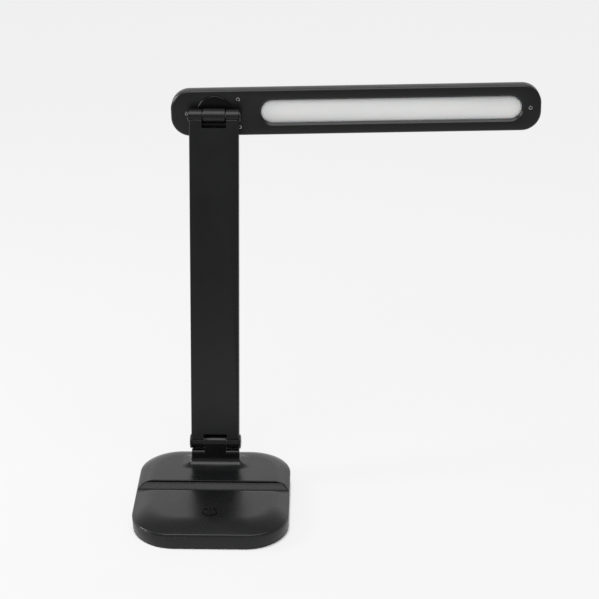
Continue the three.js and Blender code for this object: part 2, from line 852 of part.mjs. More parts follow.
function armWire() {
  const z = -armFront + armWall + gap + wireRadius;
  const ends = [lowerBridge + bridgeWall + gap, armReach - upperBridge - bridgeWall - gap];
  return tube([[0, ends[0], z], [0, (ends[0] + ends[1]) / 2, z], [0, ends[1], z]], wireRadius);
}

function addArm(group) {
  piece(group, "arm_front_cover", frontCover(), blackPlastic);
  piece(group, "arm_rear_cover", rearCover(), blackPlastic);
  piece(group, "arm_stiffener", armStiffener(), aluminium);
  piece(group, "arm_wire", armWire(), wireJacket);
  armScrewPlaces.forEach(([x, y], index) => {
    const screw = piece(group, `arm_screw_${index + 1}`, screwSolid(armScrew), steel);
    screw.position.set(x, y, -armScrewSeat);
    screw.rotation.x = Math.PI;
  });
  addHinge(group, "lower", 0, {
    pin: lowerPinRadius, head: lowerPinHead, washer: lowerWasherRadius,
    cap: lowerCapRadius, proud: lowerCapProud,
  });
  addHinge(group, "upper", armReach, {
    pin: upperPinRadius, head: upperPinHead, washer: upperWasherRadius,
    cap: upperCapRadius, proud: upperCapProud,
  });
}

// Yoke, drawn on the centre of its disc: +Z towards the viewer, +Y up

function yoke() {
  const axis = [discBelowAxis, headBehindAxis];
  const barrel = rodX(yokeBarrelRadius, [-tabHalf, tabHalf], ...axis);
  const web = block(
    [-tabHalf, tabHalf],
    [discBelowAxis - yokeWebBottom, discBelowAxis + yokeWebTop],
    [-discThickness / 2, headBehindAxis],
  );
  const disc = rodZ(discRadius, 0, 0, [-discThickness, 0]);
  const hub = rodZ(hubRadius, 0, 0, [-hubLength, -discThickness / 2]);
  const bore = rodX(upperPinRadius + gap, [-armHalf, armHalf], ...axis);
  const tip = -swivelSeat + swivelScrew.length + gap;
  const pilot = rodZ(swivelScrew.shank + gap, 0, 0, [-hubLength - overrun, tip], smallSides);
  return cut(join(barrel, web, disc, hub), bore, pilot);
}

const retainerTop = hubLength + gap; // depths below the face of the disc
const swivelSeat = retainerTop + retainerThickness + gap + swivelScrew.headLength;

function swivelRetainer() {
  const levels = [-retainerTop - retainerThickness, -retainerTop];
  const hole = rodZ(swivelScrew.shank + gap, 0, 0, [-headThickness, 0], smallSides);
  return rodZ(retainerRadius, 0, 0, levels).subtract(hole);
}

function waveWasher() {
  const top = -retainerTop + gap + waveWasherThickness;
  const inner = hubRadius + gap;
  const ring = rodZ(inner + waveWasherWidth, 0, 0, [top - waveWasherThickness, top]);
  return ring.subtract(rodZ(inner, 0, 0, [-headThickness, 0]));
}

function addYoke(group) {
  piece(group, "head_yoke", yoke(), blackPlastic);
  piece(group, "swivel_retainer", swivelRetainer(), steel);
  piece(group, "swivel_wave_washer", waveWasher(), steel);
  const screw = piece(group, "swivel_screw", screwSolid(swivelScrew), steel);
  screw.position.z = -swivelSeat;
  screw.rotation.x = Math.PI;
}

// Head, drawn on the centre of the disc with its lit face towards +Z

function headOutline(inset) {
  const y = headHeight / 2 - inset;
  return outline(-headLeft + inset, headRight - inset, -y, y, headCorner - inset);
}

function slotOutline(grow) {
  const y = slotHeight / 2 + grow;
  return outline(slotLeft - grow, slotRight + grow, -y, y, y);
}

const floorTop = discThickness + gap; // bottom of the recess the disc turns in
const floorBottom = hubLength - waveWasherThickness - gap;

function headBezel() {
  const plate = loft([
    { points: headOutline(0), z: -bezelDepth },
    { points: headOutline(0), z: -faceChamfer },
    { points: headOutline(faceChamfer), z: 0 },
  ]);
  const behind = loft([
    { points: headOutline(headWall), z: -bezelDepth - overrun },
    { points: headOutline(headWall), z: -bezelPlate },
  ]);
  const lip = loft([
    { points: slotOutline(slotLip), z: -slotDepth },
    { points: slotOutline(slotChamfer + slotLip), z: -faceChamfer },
  ]);
  const slot = loft([
    { points: slotOutline(0), z: -slotDepth - overrun },
    { points: slotOutline(0), z: -slotDepth },
    { points: slotOutline(slotChamfer), z: 0 },
    { points: slotOutline(slotChamfer), z: overrun },
  ]);
  const cupRadius = discRadius + gap + headWall;
  const cup = rodZ(cupRadius, 0, 0, [-floorBottom, -faceChamfer]);
  let bezel = join(cut(plate, behind), lip, cup);
  for (const [x, y] of faceScrewPlaces) {
    const boss = rodZ(postRadius(faceScrew), x, y, [-faceScrewFloor, -faceChamfer], smallSides);
    bezel = bezel.add(boss);
  }
  for (const [x, y] of faceScrewPlaces) {
    const seat = -faceScrew.headLength - gap;
    bezel = cut(
      bezel,
      rodZ(faceScrew.shank + gap, x, y, [-headThickness, overrun], smallSides),
      rodZ(faceScrew.head + gap, x, y, [seat, overrun], smallSides),
    );
  }
  return cut(
    bezel,
    slot,
    rodZ(discRadius + gap, 0, 0, [-floorTop, overrun]),
    rodZ(hubRadius + gap, 0, 0, [-headThickness, overrun]),
  );
}

const faceScrewFloor = bezelPlate + headWall / 2;

function headShell() {
  const front = -bezelDepth - gap;
  const back = -headThickness;
  const sections = [];
  for (let step = 0; step <= rollSteps; step += 1) {
    const angle = (Math.PI / 2) * (step / rollSteps);
    const points = headOutline(backRound * (1 - Math.sin(angle)));
    sections.push({ points, z: back + backRound * (1 - Math.cos(angle)) });
  }
  sections.push({ points: headOutline(0), z: front });
  const inside = loft([
    { points: headOutline(headWall), z: back + headWall },
    { points: headOutline(headWall), z: front + overrun },
  ]);
  let shell = cut(loft(sections), inside);
  for (const [x, y] of faceScrewPlaces) {
    const levels = [back + headWall - weld, -faceScrewFloor - gap];
    shell = shell.add(rodZ(postRadius(faceScrew), x, y, levels, smallSides));
  }
  for (const [x, y] of faceScrewPlaces) {
    const levels = [-faceScrew.length - gap, 0];
    shell = shell.subtract(rodZ(faceScrew.shank + gap, x, y, levels, smallSides));
  }
  return shell;
}

// Opal bar: a flat flange behind the lip and a low crown that shows in the slot
function diffuser() {
  const front = -slotDepth - gap;
  const flangeGrow = slotLip + slotChamfer;
  const flange = loft([
    { points: slotOutline(flangeGrow), z: front - diffuserFlange },
    { points: slotOutline(flangeGrow), z: front },
  ]);
  const sections = [{ points: slotOutline(-gap), z: front - weld }];
  for (let step = 1; step < rollSteps; step += 1) {
    const angle = (Math.PI / 2) * (step / rollSteps);
    const inset = (slotHeight / 2 - gap) * (1 - Math.cos(angle));
    sections.push({ points: slotOutline(-gap - inset), z: front + diffuserCrown * Math.sin(angle) });
  }
  return join(flange, loft(sections));
}

const ledBoardBack = headThickness - headWall - gap;
const ledBoardFace = ledBoardBack - ledBoardThickness;

function ledBoard() {
  const y = ledBoardHeight / 2;
  const left = slotLeft + ledBoardInset;
  const right = slotRight - ledBoardInset;
  let board = block([left, right], [-y, y], [-ledBoardBack, -ledBoardFace]);
  const pitch = (right - left) / ledCount;
  for (let index = 0; index < ledCount; index += 1) {
    const x = left + pitch * (index + 1 / 2);
    const chip = block(
      [x - ledLength / 2, x + ledLength / 2],
      [-ledWidth / 2, ledWidth / 2],
      [-ledBoardFace - weld, -ledBoardFace + ledThickness],
    );
    board = board.add(chip);
  }
  return board;
}

// White trough that widens from the board to the diffuser
function reflector() {
  const top = slotDepth + gap + diffuserFlange + gap;
  const bottom = ledBoardFace - gap;
  const wide = slotLip + slotChamfer;
  const narrow = (ledBoardHeight - slotHeight) / 2;
  const band = (inset, past) => loft([
    { points: slotOutline(narrow - inset), z: -bottom - past },
    { points: slotOutline(wide - inset), z: -top + past },
  ]);
  return cut(band(0, 0), band(reflectorWall, weld));
}

// Lies on the back wall of the shell, from beside the swivel to the end of the board
function headWire() {
  const z = -ledBoardBack + wireRadius;
  const start = retainerRadius + gap + 2 * wireRadius;
  const end = slotLeft + ledBoardInset - gap - 2 * wireRadius;
  const rise = headHeight / 8;
  return tube([[start, 0, z], [(start + end) / 2, -rise, z], [end, 0, z]], wireRadius);
}

function addHead(group) {
  piece(group, "head_bezel", headBezel(), blackPlastic);
  piece(group, "head_shell", headShell(), blackPlastic);
  piece(group, "diffuser", diffuser(), opal);
  piece(group, "led_board", ledBoard(), boardWhite);
  piece(group, "reflector", reflector(), whitePlastic);
  piece(group, "head_wire", headWire(), wireJacket);
  faceScrewPlaces.forEach(([x, y], index) => {
    const screw = piece(group, `head_screw_${index + 1}`, screwSolid(faceScrew), steel);
    screw.position.set(x, y, 0);
  });
}

// The lamp: each moving group hangs on the one before it, at its own axis

const lamp = new THREE.Group();
addBase(lamp);

const arm = new THREE.Group();
arm.position.set(0, hingeBehindCentre, hingeHeight);
arm.rotation.x = Math.PI / 2 - armLeanBack;
lamp.add(arm);
addArm(arm);

const upright = new THREE.Group();
upright.position.y = armReach;
upright.rotation.x = armLeanBack;
arm.add(upright);

const swivel = new THREE.Group();
swivel.position.set(0, -discBelowAxis, -headBehindAxis);
upright.add(swivel);
addYoke(swivel);

const head = new THREE.Group();
head.rotation.z = headTurnUp;
swivel.add(head);
addHead(head);

export default lamp;
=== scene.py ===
# %% [markdown]
# # A folding desk lamp with a light bar
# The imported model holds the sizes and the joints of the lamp. This script gives it its looks: a
# satin black body, an opal light bar and steel screws, in front of a pale studio floor. Every
# moulded shell that shows is modelled again with smooth curves and soft edges, in millimetres,
# and is put in its place at the end. What stays out of sight keeps its simple shape.

import json
import math

import bmesh
import bpy
from mathutils import Matrix, Vector


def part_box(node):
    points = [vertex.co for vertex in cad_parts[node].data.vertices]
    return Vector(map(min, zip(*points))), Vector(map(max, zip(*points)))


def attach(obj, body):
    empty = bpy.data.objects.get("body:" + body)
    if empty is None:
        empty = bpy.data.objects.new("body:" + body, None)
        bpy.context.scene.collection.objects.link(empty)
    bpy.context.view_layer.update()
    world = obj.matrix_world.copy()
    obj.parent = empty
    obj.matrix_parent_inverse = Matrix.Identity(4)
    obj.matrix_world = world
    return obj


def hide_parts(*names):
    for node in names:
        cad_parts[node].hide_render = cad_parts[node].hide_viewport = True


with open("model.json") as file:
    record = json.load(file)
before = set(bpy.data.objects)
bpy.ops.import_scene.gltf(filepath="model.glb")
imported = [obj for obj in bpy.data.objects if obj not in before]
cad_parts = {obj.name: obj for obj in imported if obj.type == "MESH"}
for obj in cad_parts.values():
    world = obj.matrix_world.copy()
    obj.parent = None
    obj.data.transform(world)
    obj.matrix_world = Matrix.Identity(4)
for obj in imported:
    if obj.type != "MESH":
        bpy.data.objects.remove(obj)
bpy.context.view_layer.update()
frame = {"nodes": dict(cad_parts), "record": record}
nodes = frame["nodes"]
MM = 0.001

# %% [markdown]
# ## Camera
# The photograph was taken from a little over a metre away with a long lens, looking down at the
# lamp from the front. A camera is a place and three directions: where it looks, what is right
# and what is up. They come from a slight turn, the tilt down and a very small roll.

# %% Camera
IMAGE_PIXELS = 599
FOCAL_PIXELS = 1600
CAMERA_PLACE = Vector((0.0904, -1.26819, 0.76156))
CAMERA_TURN = 0.0096819
CAMERA_TILT = 0.41219
CAMERA_ROLL = -0.0047138


def make_camera():
    data = bpy.data.cameras.new("photo_camera")
    data.sensor_width = 36
    data.lens = data.sensor_width * FOCAL_PIXELS / IMAGE_PIXELS
    data.clip_end = 60
    camera = bpy.data.objects.new("photo_camera", data)
    turn = Matrix.Rotation(CAMERA_TURN, 4, "Z")
    tilt = Matrix.Rotation(math.pi / 2 - CAMERA_TILT, 4, "X")
    roll = Matrix.Rotation(-CAMERA_ROLL, 4, "Z")
    camera.matrix_world = Matrix.Translation(CAMERA_PLACE) @ turn @ tilt @ roll
    bpy.context.scene.collection.objects.link(camera)
    bpy.context.scene.camera = camera
    return camera


camera = make_camera()
bpy.context.scene.view_settings.view_transform = "Standard"
print("lens in millimetres", round(camera.data.lens, 1))

# %% [markdown]
# ## Shader maths
# A node graph is easier to read as an expression. This small class wraps one output socket, so
# that `1 - mask * 0.3` adds the Math nodes for it. `Graph.node` adds any other node: first its
# settings, then the values or links of its sockets.

# %% Wire


class Wire:
    """A value on its way through a node tree."""

    def __init__(self, graph, socket):
        self.graph, self.socket = graph, socket

    def maths(self, operation, *values, clamp=False):
        return self.graph.node(
            "ShaderNodeMath", {"operation": operation, "use_clamp": clamp},
            dict(enumerate(values)))

    def __add__(self, other):
        return self.maths("ADD", self, other)

    def __sub__(self, other):
        return self.maths("SUBTRACT", self, other)

    def __rsub__(self, other):
        return self.maths("SUBTRACT", other, self)

    def __mul__(self, other):
        return self.maths("MULTIPLY", self, other)

    def __truediv__(self, other):
        return self.maths("DIVIDE", self, other)

    __radd__ = __add__
    __rmul__ = __mul__

    def ramp(self, start, end):
        """0 before start, 1 after end, and a soft rise between them."""
        return self.graph.node(
            "ShaderNodeMapRange", {"interpolation_type": "SMOOTHSTEP"},
            {"Value": self, "From Min": start, "From Max": end})

    def most(self, other):
        return self.maths("MAXIMUM", self, other)

    def least(self, other):
        return self.maths("MINIMUM", self, other)

    def size(self):
        return self.maths("ABSOLUTE", self)

    def sine(self):
        return self.maths("SINE", self)

    def root(self):
        return self.maths("SQRT", self)


# %% [markdown]
# A graph could be wired by hand, node by node, but the same few nodes come back in every finish.
# So one class keeps a tree and has a short method for each of them, and the rest goes through
# its one general method.

# %% Graph


class Graph:
    """The node tree of one material or of the world."""

    def __init__(self, tree):
        self.tree = tree
        self.tree.nodes.clear()

    def node(self, kind, settings=None, values=None, output=0):
        made = self.tree.nodes.new(kind)
        for name, value in (settings or {}).items():
            setattr(made, name, value)
        for name, value in (values or {}).items():
            if isinstance(value, Wire):
                self.tree.links.new(value.socket, made.inputs[name])
            else:
                made.inputs[name].default_value = value
        return Wire(self, made.outputs[output]) if len(made.outputs) else made

    def place(self):
        return self.node("ShaderNodeTexCoord", output="Object")

    def axes(self, vector):
        split = self.tree.nodes.new("ShaderNodeSeparateXYZ")
        self.tree.links.new(vector.socket, split.inputs[0])
        return [Wire(self, split.outputs[k]) for k in range(3)]

    def noise(self, scale, detail=2.0, roughness=0.5, vector=None, distortion=0.0):
        return self.node("ShaderNodeTexNoise", {"noise_dimensions": "3D"}, {
            "Vector": vector or self.place(), "Scale": scale, "Detail": detail,
            "Roughness": roughness, "Distortion": distortion})

    def blend(self, share, first, second):
        """A colour that goes from first to second."""
        mix = self.tree.nodes.new("ShaderNodeMix")
        mix.data_type = "RGBA"
        for name, value in (("Factor", share), ("A", first), ("B", second)):
            sockets = [s for s in mix.inputs if s.name == name and s.enabled]
            if isinstance(value, Wire):
                self.tree.links.new(value.socket, sockets[0])
            else:
                sockets[0].default_value = value
        return Wire(self, next(s for s in mix.outputs if s.enabled))

    def bump(self, height, depth, strength=1.0):
        return self.node("ShaderNodeBump", None, {
            "Height": height, "Distance": depth, "Strength": strength})


def grey(value):
    return (value, value, value, 1.0)


def colour(red, green, blue):
    return (red, green, blue, 1.0)


# %% [markdown]
# ## Studio
# The lamp stands on a pale sweep. A black satin surface shows little of its own colour and a lot
# of the room, so the room matters: a broad soft light overhead and a little to the front, a
# bright wall low behind the lamp, and a darker room on the side of the camera.
#
# The floor keeps the shadow, and part of its paleness is a glow of its own, so it stays even. It
# is pale where the camera sees it, but darker in front of the lamp for what the lamp mirrors.
# Under the base it has no glow, so that the thin gap at the lamp's foot stays dark.

# %% Floor
FLOOR_SIZE = 12.0
FLOOR_GLOW, FLOOR_DARK_GLOW = 0.906, 0.40
FLOOR_PALE, FLOOR_DARK = 0.9, 0.42
FLOOR_SHADE_SHARE = 0.10
NEAR_FADE, FAR_FADE, BEHIND_FADE = (0.45, 1.2), (1.2, 2.4), (-0.5, 0.1)
FAR_SHARE = 0.3
FOOT_STRAIGHT_X, FOOT_STRAIGHT_Y = 0.033, 0.0375
FOOT_CORNER_FADE = (0.0366, 0.0384)


def make_floor():
    bm = bmesh.new()
    bmesh.ops.create_grid(bm, x_segments=2, y_segments=2, size=FLOOR_SIZE / 2)
    mesh = bpy.data.meshes.new("studio_floor")
    bm.to_mesh(mesh)
    bm.free()
    floor = bpy.data.objects.new("studio_floor", mesh)
    bpy.context.scene.collection.objects.link(floor)
    material = bpy.data.materials.new("pale_floor")
    material.use_nodes = True
    g = Graph(material.node_tree)
    x, y, z = g.axes(g.place())
    away = (x * x + (y + 0.1) * (y + 0.1)).root()
    near = 1 - away.ramp(*NEAR_FADE)
    behind = y.ramp(*BEHIND_FADE)
    far = away.ramp(*FAR_FADE) * FAR_SHARE
    ray = g.tree.nodes.new("ShaderNodeLightPath")
    seen = Wire(g, ray.outputs["Is Camera Ray"])
    mirrored = Wire(g, ray.outputs["Is Glossy Ray"])
    through = Wire(g, ray.outputs["Is Transmission Ray"])
    pale = near.most(behind).most(seen).most(far)
    grain = g.noise(9.0, 3.0)
    shade = g.blend(pale, grey(FLOOR_DARK), grey(FLOOR_PALE))
    tint = g.blend(grain, grey(0.97), grey(1.0))
    lit = g.node("ShaderNodeVectorMath", {"operation": "MULTIPLY"}, {0: shade, 1: tint})
    glow_shade = g.blend(pale, grey(FLOOR_DARK_GLOW), grey(FLOOR_GLOW))
    matte = g.node("ShaderNodeBsdfDiffuse", None, {"Color": lit})
    glow = g.node("ShaderNodeEmission", None, {"Color": glow_shade, "Strength": 1.0})
    past_x = (x.size() - FOOT_STRAIGHT_X).most(0.0)
    past_y = (y.size() - FOOT_STRAIGHT_Y).most(0.0)
    under_lamp = 1 - (past_x * past_x + past_y * past_y).root().ramp(*FOOT_CORNER_FADE)
    share = seen.most(mirrored).most(through) * (1 - FLOOR_SHADE_SHARE) * (1 - under_lamp)
    both = g.node("ShaderNodeMixShader", None, {0: share, 1: matte, 2: glow})
    g.node("ShaderNodeOutputMaterial", None, {"Surface": both})
    mesh.materials.append(material)


make_floor()
print("floor made, metres across:", FLOOR_SIZE)

# %% [markdown]
# A real studio has walls, and the lamp mirrors them. They could be modelled as panels, but the
# world's own light does the same with one node: dim all round, and bright low behind the lamp.
# The camera itself sees one even pale tone there, as on a paper backdrop.

# %% World
PALE = 0.887
ROOM, ROOM_RISE = 0.31, 0.12


def make_world():
    world = bpy.data.worlds.new("studio")
    bpy.context.scene.world = world
    world.use_nodes = True
    g = Graph(world.node_tree)
    direction = g.node("ShaderNodeTexCoord", output="Generated")
    x, y, z = g.axes(direction)
    behind = y.ramp(0.1, 0.6)
    low = 1 - z.ramp(0.52, 0.66)
    room = ROOM + z.ramp(0.1, 0.9) * ROOM_RISE
    level = room + behind * low * (z.ramp(0.22, 0.36) * 0.5 + 0.5)
    ray = g.tree.nodes.new("ShaderNodeLightPath")
    seen = Wire(g, ray.outputs["Is Camera Ray"])
    level = level * (1 - seen) + seen * PALE
    glow = g.node("ShaderNodeBackground", None, {"Color": grey(1.0), "Strength": level})
    g.node("ShaderNodeOutputWorld", None, {"Surface": glow})


make_world()
print("world made, backdrop tone:", PALE)

# %% [markdown]
# Two soft lights do the rest. A wide softbox overhead lays the broad grey sheen on the lid, and
# a small strip on the left draws the thin highlights on the left edges.

# %% Lights
SOFTBOX_PLACE, SOFTBOX_TARGET = (0.05, -0.47, 1.5), (0.05, -0.15, 0.15)
SOFTBOX_WIDTH, SOFTBOX_DEPTH, SOFTBOX_POWER = 1.5, 1.05, 16.5
STRIP_PLACE, STRIP_TARGET = (-1.0, 0.0, 0.74), (0.0, 0.0, 0.2)
STRIP_WIDTH, STRIP_HEIGHT, STRIP_POWER = 0.24, 0.44, 9.0


def soft_light(name, place, target, width, height, power):
    data = bpy.data.lights.new(name, "AREA")
    data.shape = "RECTANGLE"
    data.size, data.size_y = width, height
    data.energy = power
    light = bpy.data.objects.new(name, data)
    light.location = place
    light.rotation_euler = (Vector(target) - Vector(place)).to_track_quat("-Z", "Y").to_euler()
    bpy.context.scene.collection.objects.link(light)


soft_light("overhead_softbox", SOFTBOX_PLACE, SOFTBOX_TARGET, SOFTBOX_WIDTH, SOFTBOX_DEPTH,
           SOFTBOX_POWER)
soft_light("left_strip", STRIP_PLACE, STRIP_TARGET, STRIP_WIDTH, STRIP_HEIGHT, STRIP_POWER)
print("overhead softbox and left strip made")

# %% [markdown]
# ## Finishes
# The body is moulded from near-black plastic with a fine spark-eroded texture. Such a surface
# is never one flat tone: the texture scatters the light, and handling polishes it in soft
# patches. Two scales of noise carry that: a fine one in the bump and a broad one in roughness.

# %% Material helper


def finish(name, build, **constants):
    """A material whose Principled shader gets fixed values first, then what build links to it."""
    material = bpy.data.materials.new(name)
    material.use_nodes = True
    g = Graph(material.node_tree)
    shader = g.tree.nodes.new("ShaderNodeBsdfPrincipled")
    for socket, value in constants.items():
        shader.inputs[socket.replace("_", " ")].default_value = value
    for socket, value in build(g).items():
        g.tree.links.new(value.socket, shader.inputs[socket])
    output = g.tree.nodes.new("ShaderNodeOutputMaterial")
    g.tree.links.new(shader.outputs[0], output.inputs["Surface"])
    return material


def moulded(dark, light, smooth, rough, grain_depth):
    """Textured plastic: dark and light are its two tones, smooth and rough its two glosses."""
    def build(g):
        patches = g.noise(38.0, 3.0)
        fine = g.noise(3200.0, 2.0, 0.6)
        mottle = g.noise(420.0, 2.0)
        return {
            "Base Color": g.blend(patches * 0.6 + fine * 0.4, colour(*dark), colour(*light)),
            "Roughness": (patches * 0.7 + mottle * 0.3).ramp(0.25, 0.75) * (rough - smooth) + smooth,
            "Normal": g.bump(fine * 0.7 + mottle * 0.3, grain_depth),
        }
    return build


# %% [markdown]
# The touch area on the front of the lid carries a small mark, printed in a glossy dark tone. It
# could be a piece of its own, but a print has no thickness, so it is a mask in the lid's finish:
# a ring with an opening at the back, and a bar in the opening.

# %% Touch mark
TOUCH_FORWARD = 0.043
MARK_RADIUS, MARK_STROKE = 0.0062, 0.0014
MARK_OPENING = (0.0020, 0.0024)
BAR_MIDDLE, BAR_END = 0.0045, (0.0030, 0.0033)
TOP_OF_LID = (0.017, 0.018)
MARK_DEPTH = 0.00006


def marked(base):
    """Adds the touch mark to a finish: darker, smoother and a very little deeper."""
    def build(g):
        values = base(g)
        x, y, z = g.axes(g.place())
        ahead = y + TOUCH_FORWARD
        off_ring = ((x * x + ahead * ahead).root() - MARK_RADIUS).size()
        opening = (1 - x.size().ramp(*MARK_OPENING)) * ahead.ramp(0.0, 0.0004)
        ring = (1 - off_ring.ramp(MARK_STROKE * 0.4, MARK_STROKE * 0.6)) * (1 - opening)
        bar = (1 - x.size().ramp(MARK_STROKE * 0.4, MARK_STROKE * 0.6)) * (
            1 - (ahead - BAR_MIDDLE).size().ramp(*BAR_END))
        mark = ring.most(bar) * z.ramp(*TOP_OF_LID)
        grain = g.noise(2400.0, 2.0)
        values["Base Color"] = g.blend(mark, values["Base Color"], colour(0.0030, 0.0030, 0.0032))
        values["Metallic"] = mark
        values["Roughness"] = values["Roughness"] * (1 - mark * 0.65)
        values["Normal"] = g.bump(grain * 0.05 - mark, MARK_DEPTH)
        return values
    return build


# %% [markdown]
# Four blacks are enough: the satin one of the arm and the light bar, the lid's with its mark, the
# glossier one of the end caps, and the very dark one of the round disc in the light bar.

# %% Black finishes
satin_black = finish("satin_black", moulded(
    (0.0036, 0.0038, 0.0042), (0.0060, 0.0062, 0.0066), 0.30, 0.38, 0.00001), IOR=1.45,
    Specular_IOR_Level=0.42)
lid_black = finish("lid_black", marked(moulded(
    (0.0034, 0.0036, 0.0040), (0.0056, 0.0058, 0.0062), 0.24, 0.31, 0.000005)), IOR=1.45,
    Specular_IOR_Level=0.45)
trim_black = finish("trim_black", moulded(
    (0.0040, 0.0041, 0.0044), (0.0062, 0.0063, 0.0066), 0.20, 0.27, 0.000003), IOR=1.46)
disc_black = finish("disc_black", moulded(
    (0.0016, 0.0017, 0.0018), (0.0028, 0.0029, 0.0030), 0.22, 0.29, 0.000003), IOR=1.45,
    Specular_IOR_Level=0.2)
print("black finishes made")

# %% [markdown]
# The diffuser is opal acrylic. It is white all through, with a faint bloom under the surface,
# so it gets a little scattering, a soft gloss and the barest cloudiness. Towards its long edges
# its colour is painted darker: painted shade for the walls of the slot and the thinner opal there.

# %% Opal, rubber and board finishes
low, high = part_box("diffuser")
OPAL_MIDDLE, OPAL_HALF = (low.z + high.z) / 2, 0.011
# how dark the painted shade at the bar's long edges is
OPAL_EDGE_SHADE = 0.35
STUD_PITCH = 0.003
WEAVE = 5200.0


def opal_build(g):
    cloud = g.noise(24.0, 2.0)
    frost = g.noise(2600.0, 2.0)
    x, y, z = g.axes(g.place())
    # painted shade: the colour darkens from the middle of the bar towards its long edges
    off_middle = ((z - OPAL_MIDDLE) / OPAL_HALF).size().least(1.0)
    edge_shade = off_middle * off_middle
    milky = g.blend(cloud, colour(0.73, 0.735, 0.73), colour(0.79, 0.79, 0.785))
    return {
        "Base Color": g.blend(edge_shade * OPAL_EDGE_SHADE, milky, colour(0.35, 0.355, 0.36)),
        "Roughness": cloud * 0.08 + 0.38,
        "Normal": g.bump(frost, 0.000004),
    }


def rubber_build(g):
    x, y, z = g.axes(g.place())
    waves = 2 * math.pi / STUD_PITCH
    studs = (x * waves).sine() * (y * waves).sine()
    dust = g.noise(60.0, 4.0, 0.6)
    return {
        "Base Color": g.blend(dust, grey(0.010), grey(0.022)),
        "Roughness": dust * 0.15 + 0.78,
        "Normal": g.bump(studs.ramp(0.1, 0.7), 0.00012),
    }


def board_build(first, second):
    def build(g):
        x, y, z = g.axes(g.place())
        weave = (x * WEAVE).sine() * (y * WEAVE).sine()
        tracks = g.node("ShaderNodeTexVoronoi", {"feature": "DISTANCE_TO_EDGE"}, {
            "Vector": g.place(), "Scale": 210.0})
        line = 1 - tracks.ramp(0.03, 0.06)
        return {
            "Base Color": g.blend(line, colour(*first), colour(*second)),
            "Roughness": line * 0.1 + 0.42,
            "Normal": g.bump(line + weave * 0.1, 0.00003),
        }
    return build


def jacket_build(g):
    grime = g.noise(300.0, 3.0)
    return {
        "Base Color": g.blend(grime, grey(0.012), grey(0.024)),
        "Roughness": grime * 0.2 + 0.45,
        "Normal": g.bump(g.noise(1500.0), 0.00001),
    }


def wrap_build(g):
    wrinkle = g.noise(180.0, 4.0, 0.6, distortion=1.5)
    return {
        "Base Color": g.blend(wrinkle, colour(0.035, 0.10, 0.24), colour(0.05, 0.14, 0.31)),
        "Roughness": wrinkle * 0.2 + 0.25,
        "Normal": g.bump(wrinkle, 0.00015),
    }


def white_build(g):
    haze = g.noise(90.0, 3.0)
    return {
        "Base Color": g.blend(haze, grey(0.78), grey(0.86)),
        "Roughness": haze * 0.15 + 0.4,
        "Normal": g.bump(g.noise(1800.0), 0.000006),
    }


opal = finish("opal", opal_build, IOR=1.49, Subsurface_Weight=0.15, Subsurface_Scale=0.002)
rubber = finish("rubber", rubber_build, Specular_IOR_Level=0.3)
green_board = finish("green_board", board_build((0.012, 0.085, 0.035), (0.03, 0.15, 0.06)))
pale_board = finish("pale_board", board_build((0.74, 0.74, 0.70), (0.80, 0.80, 0.77)))
wire_jacket = finish("wire_jacket", jacket_build)
cell_wrap = finish("cell_wrap", wrap_build, Coat_Weight=0.3)
white_moulding = finish("white_moulding", white_build)
print("opal, rubber, boards, wire, cell and white finishes made")

# %% [markdown]
# Metal shows its making in the direction of its scratches. Turned screw heads carry fine rings,
# sheet steel carries the marks of rolling, and cut ballast plate is rough all over. The spring
# washers and friction discs in the hinges are blackened, so they don't shine in the narrow gaps.

# %% Metal finishes


def brushed(first, second, smooth, rough, stretch):
    def build(g):
        long = g.node("ShaderNodeMapping", None, {"Vector": g.place(), "Scale": stretch})
        marks = g.noise(900.0, 4.0, 0.6, vector=long)
        spots = g.noise(140.0, 3.0)
        return {
            "Base Color": g.blend(marks * 0.5 + spots * 0.5, colour(*first), colour(*second)),
            "Roughness": marks * (rough - smooth) + smooth,
            "Normal": g.bump(marks, 0.000006),
        }
    return build


even = (1.0, 1.0, 1.0)
screw_steel = finish("screw_steel", brushed(
    (0.30, 0.30, 0.305), (0.46, 0.46, 0.465), 0.22, 0.36, even), Metallic=1.0)
bright_steel = finish("bright_steel", brushed(
    (0.44, 0.44, 0.45), (0.60, 0.60, 0.61), 0.22, 0.38, (0.1, 1.0, 1.0)), Metallic=1.0)
ballast_steel = finish("ballast_steel", brushed(
    (0.18, 0.18, 0.185), (0.30, 0.30, 0.31), 0.45, 0.62, even), Metallic=1.0)
aluminium = finish("aluminium", brushed(
    (0.58, 0.58, 0.59), (0.70, 0.70, 0.71), 0.28, 0.42, (1.0, 0.1, 1.0)), Metallic=1.0)
copper = finish("copper", brushed(
    (0.62, 0.30, 0.15), (0.75, 0.40, 0.22), 0.25, 0.4, even), Metallic=1.0)
blackened = finish("blackened", brushed(
    (0.010, 0.010, 0.011), (0.022, 0.022, 0.024), 0.35, 0.5, even))
print("metal finishes made")

# %% [markdown]
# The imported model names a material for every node. A table turns that name into a finish, so no
# node is left bare, whether it shows or lies inside.

# %% Finish of every node
FINISH_OF_SLOT = {
    "moulded_black": satin_black, "black_trim": trim_black, "rubber_pad": rubber,
    "opal_plastic": opal, "white_plastic": white_moulding, "white_board": pale_board,
    "circuit_board": green_board, "wire_jacket": wire_jacket, "battery_wrap": cell_wrap,
    "bright_steel": bright_steel, "screw_steel": screw_steel, "ballast_steel": ballast_steel,
    "copper_foil": copper, "plain_aluminium": aluminium,
}
slot_of_node = {row["node"]: row["material_slot"] for row in frame["record"]["subparts"]}
for name, node in nodes.items():
    spring_washer = name.startswith(("lower_washer", "upper_washer"))
    node.data.materials.clear()
    node.data.materials.append(blackened if spring_washer else FINISH_OF_SLOT[slot_of_node[name]])
print("nodes with a finish:", len(nodes))

# %% [markdown]
# ## Skins from loops
# Moulded shells are easiest to make as a skin over loops: a ring of corners is drawn once, and
# each next ring is extruded from the last one and put where the section asks. Every corner
# carries its number round the ring, so that a new ring knows where each of its corners goes.

# %% Loop tools
NUMBER = "number_round_ring"


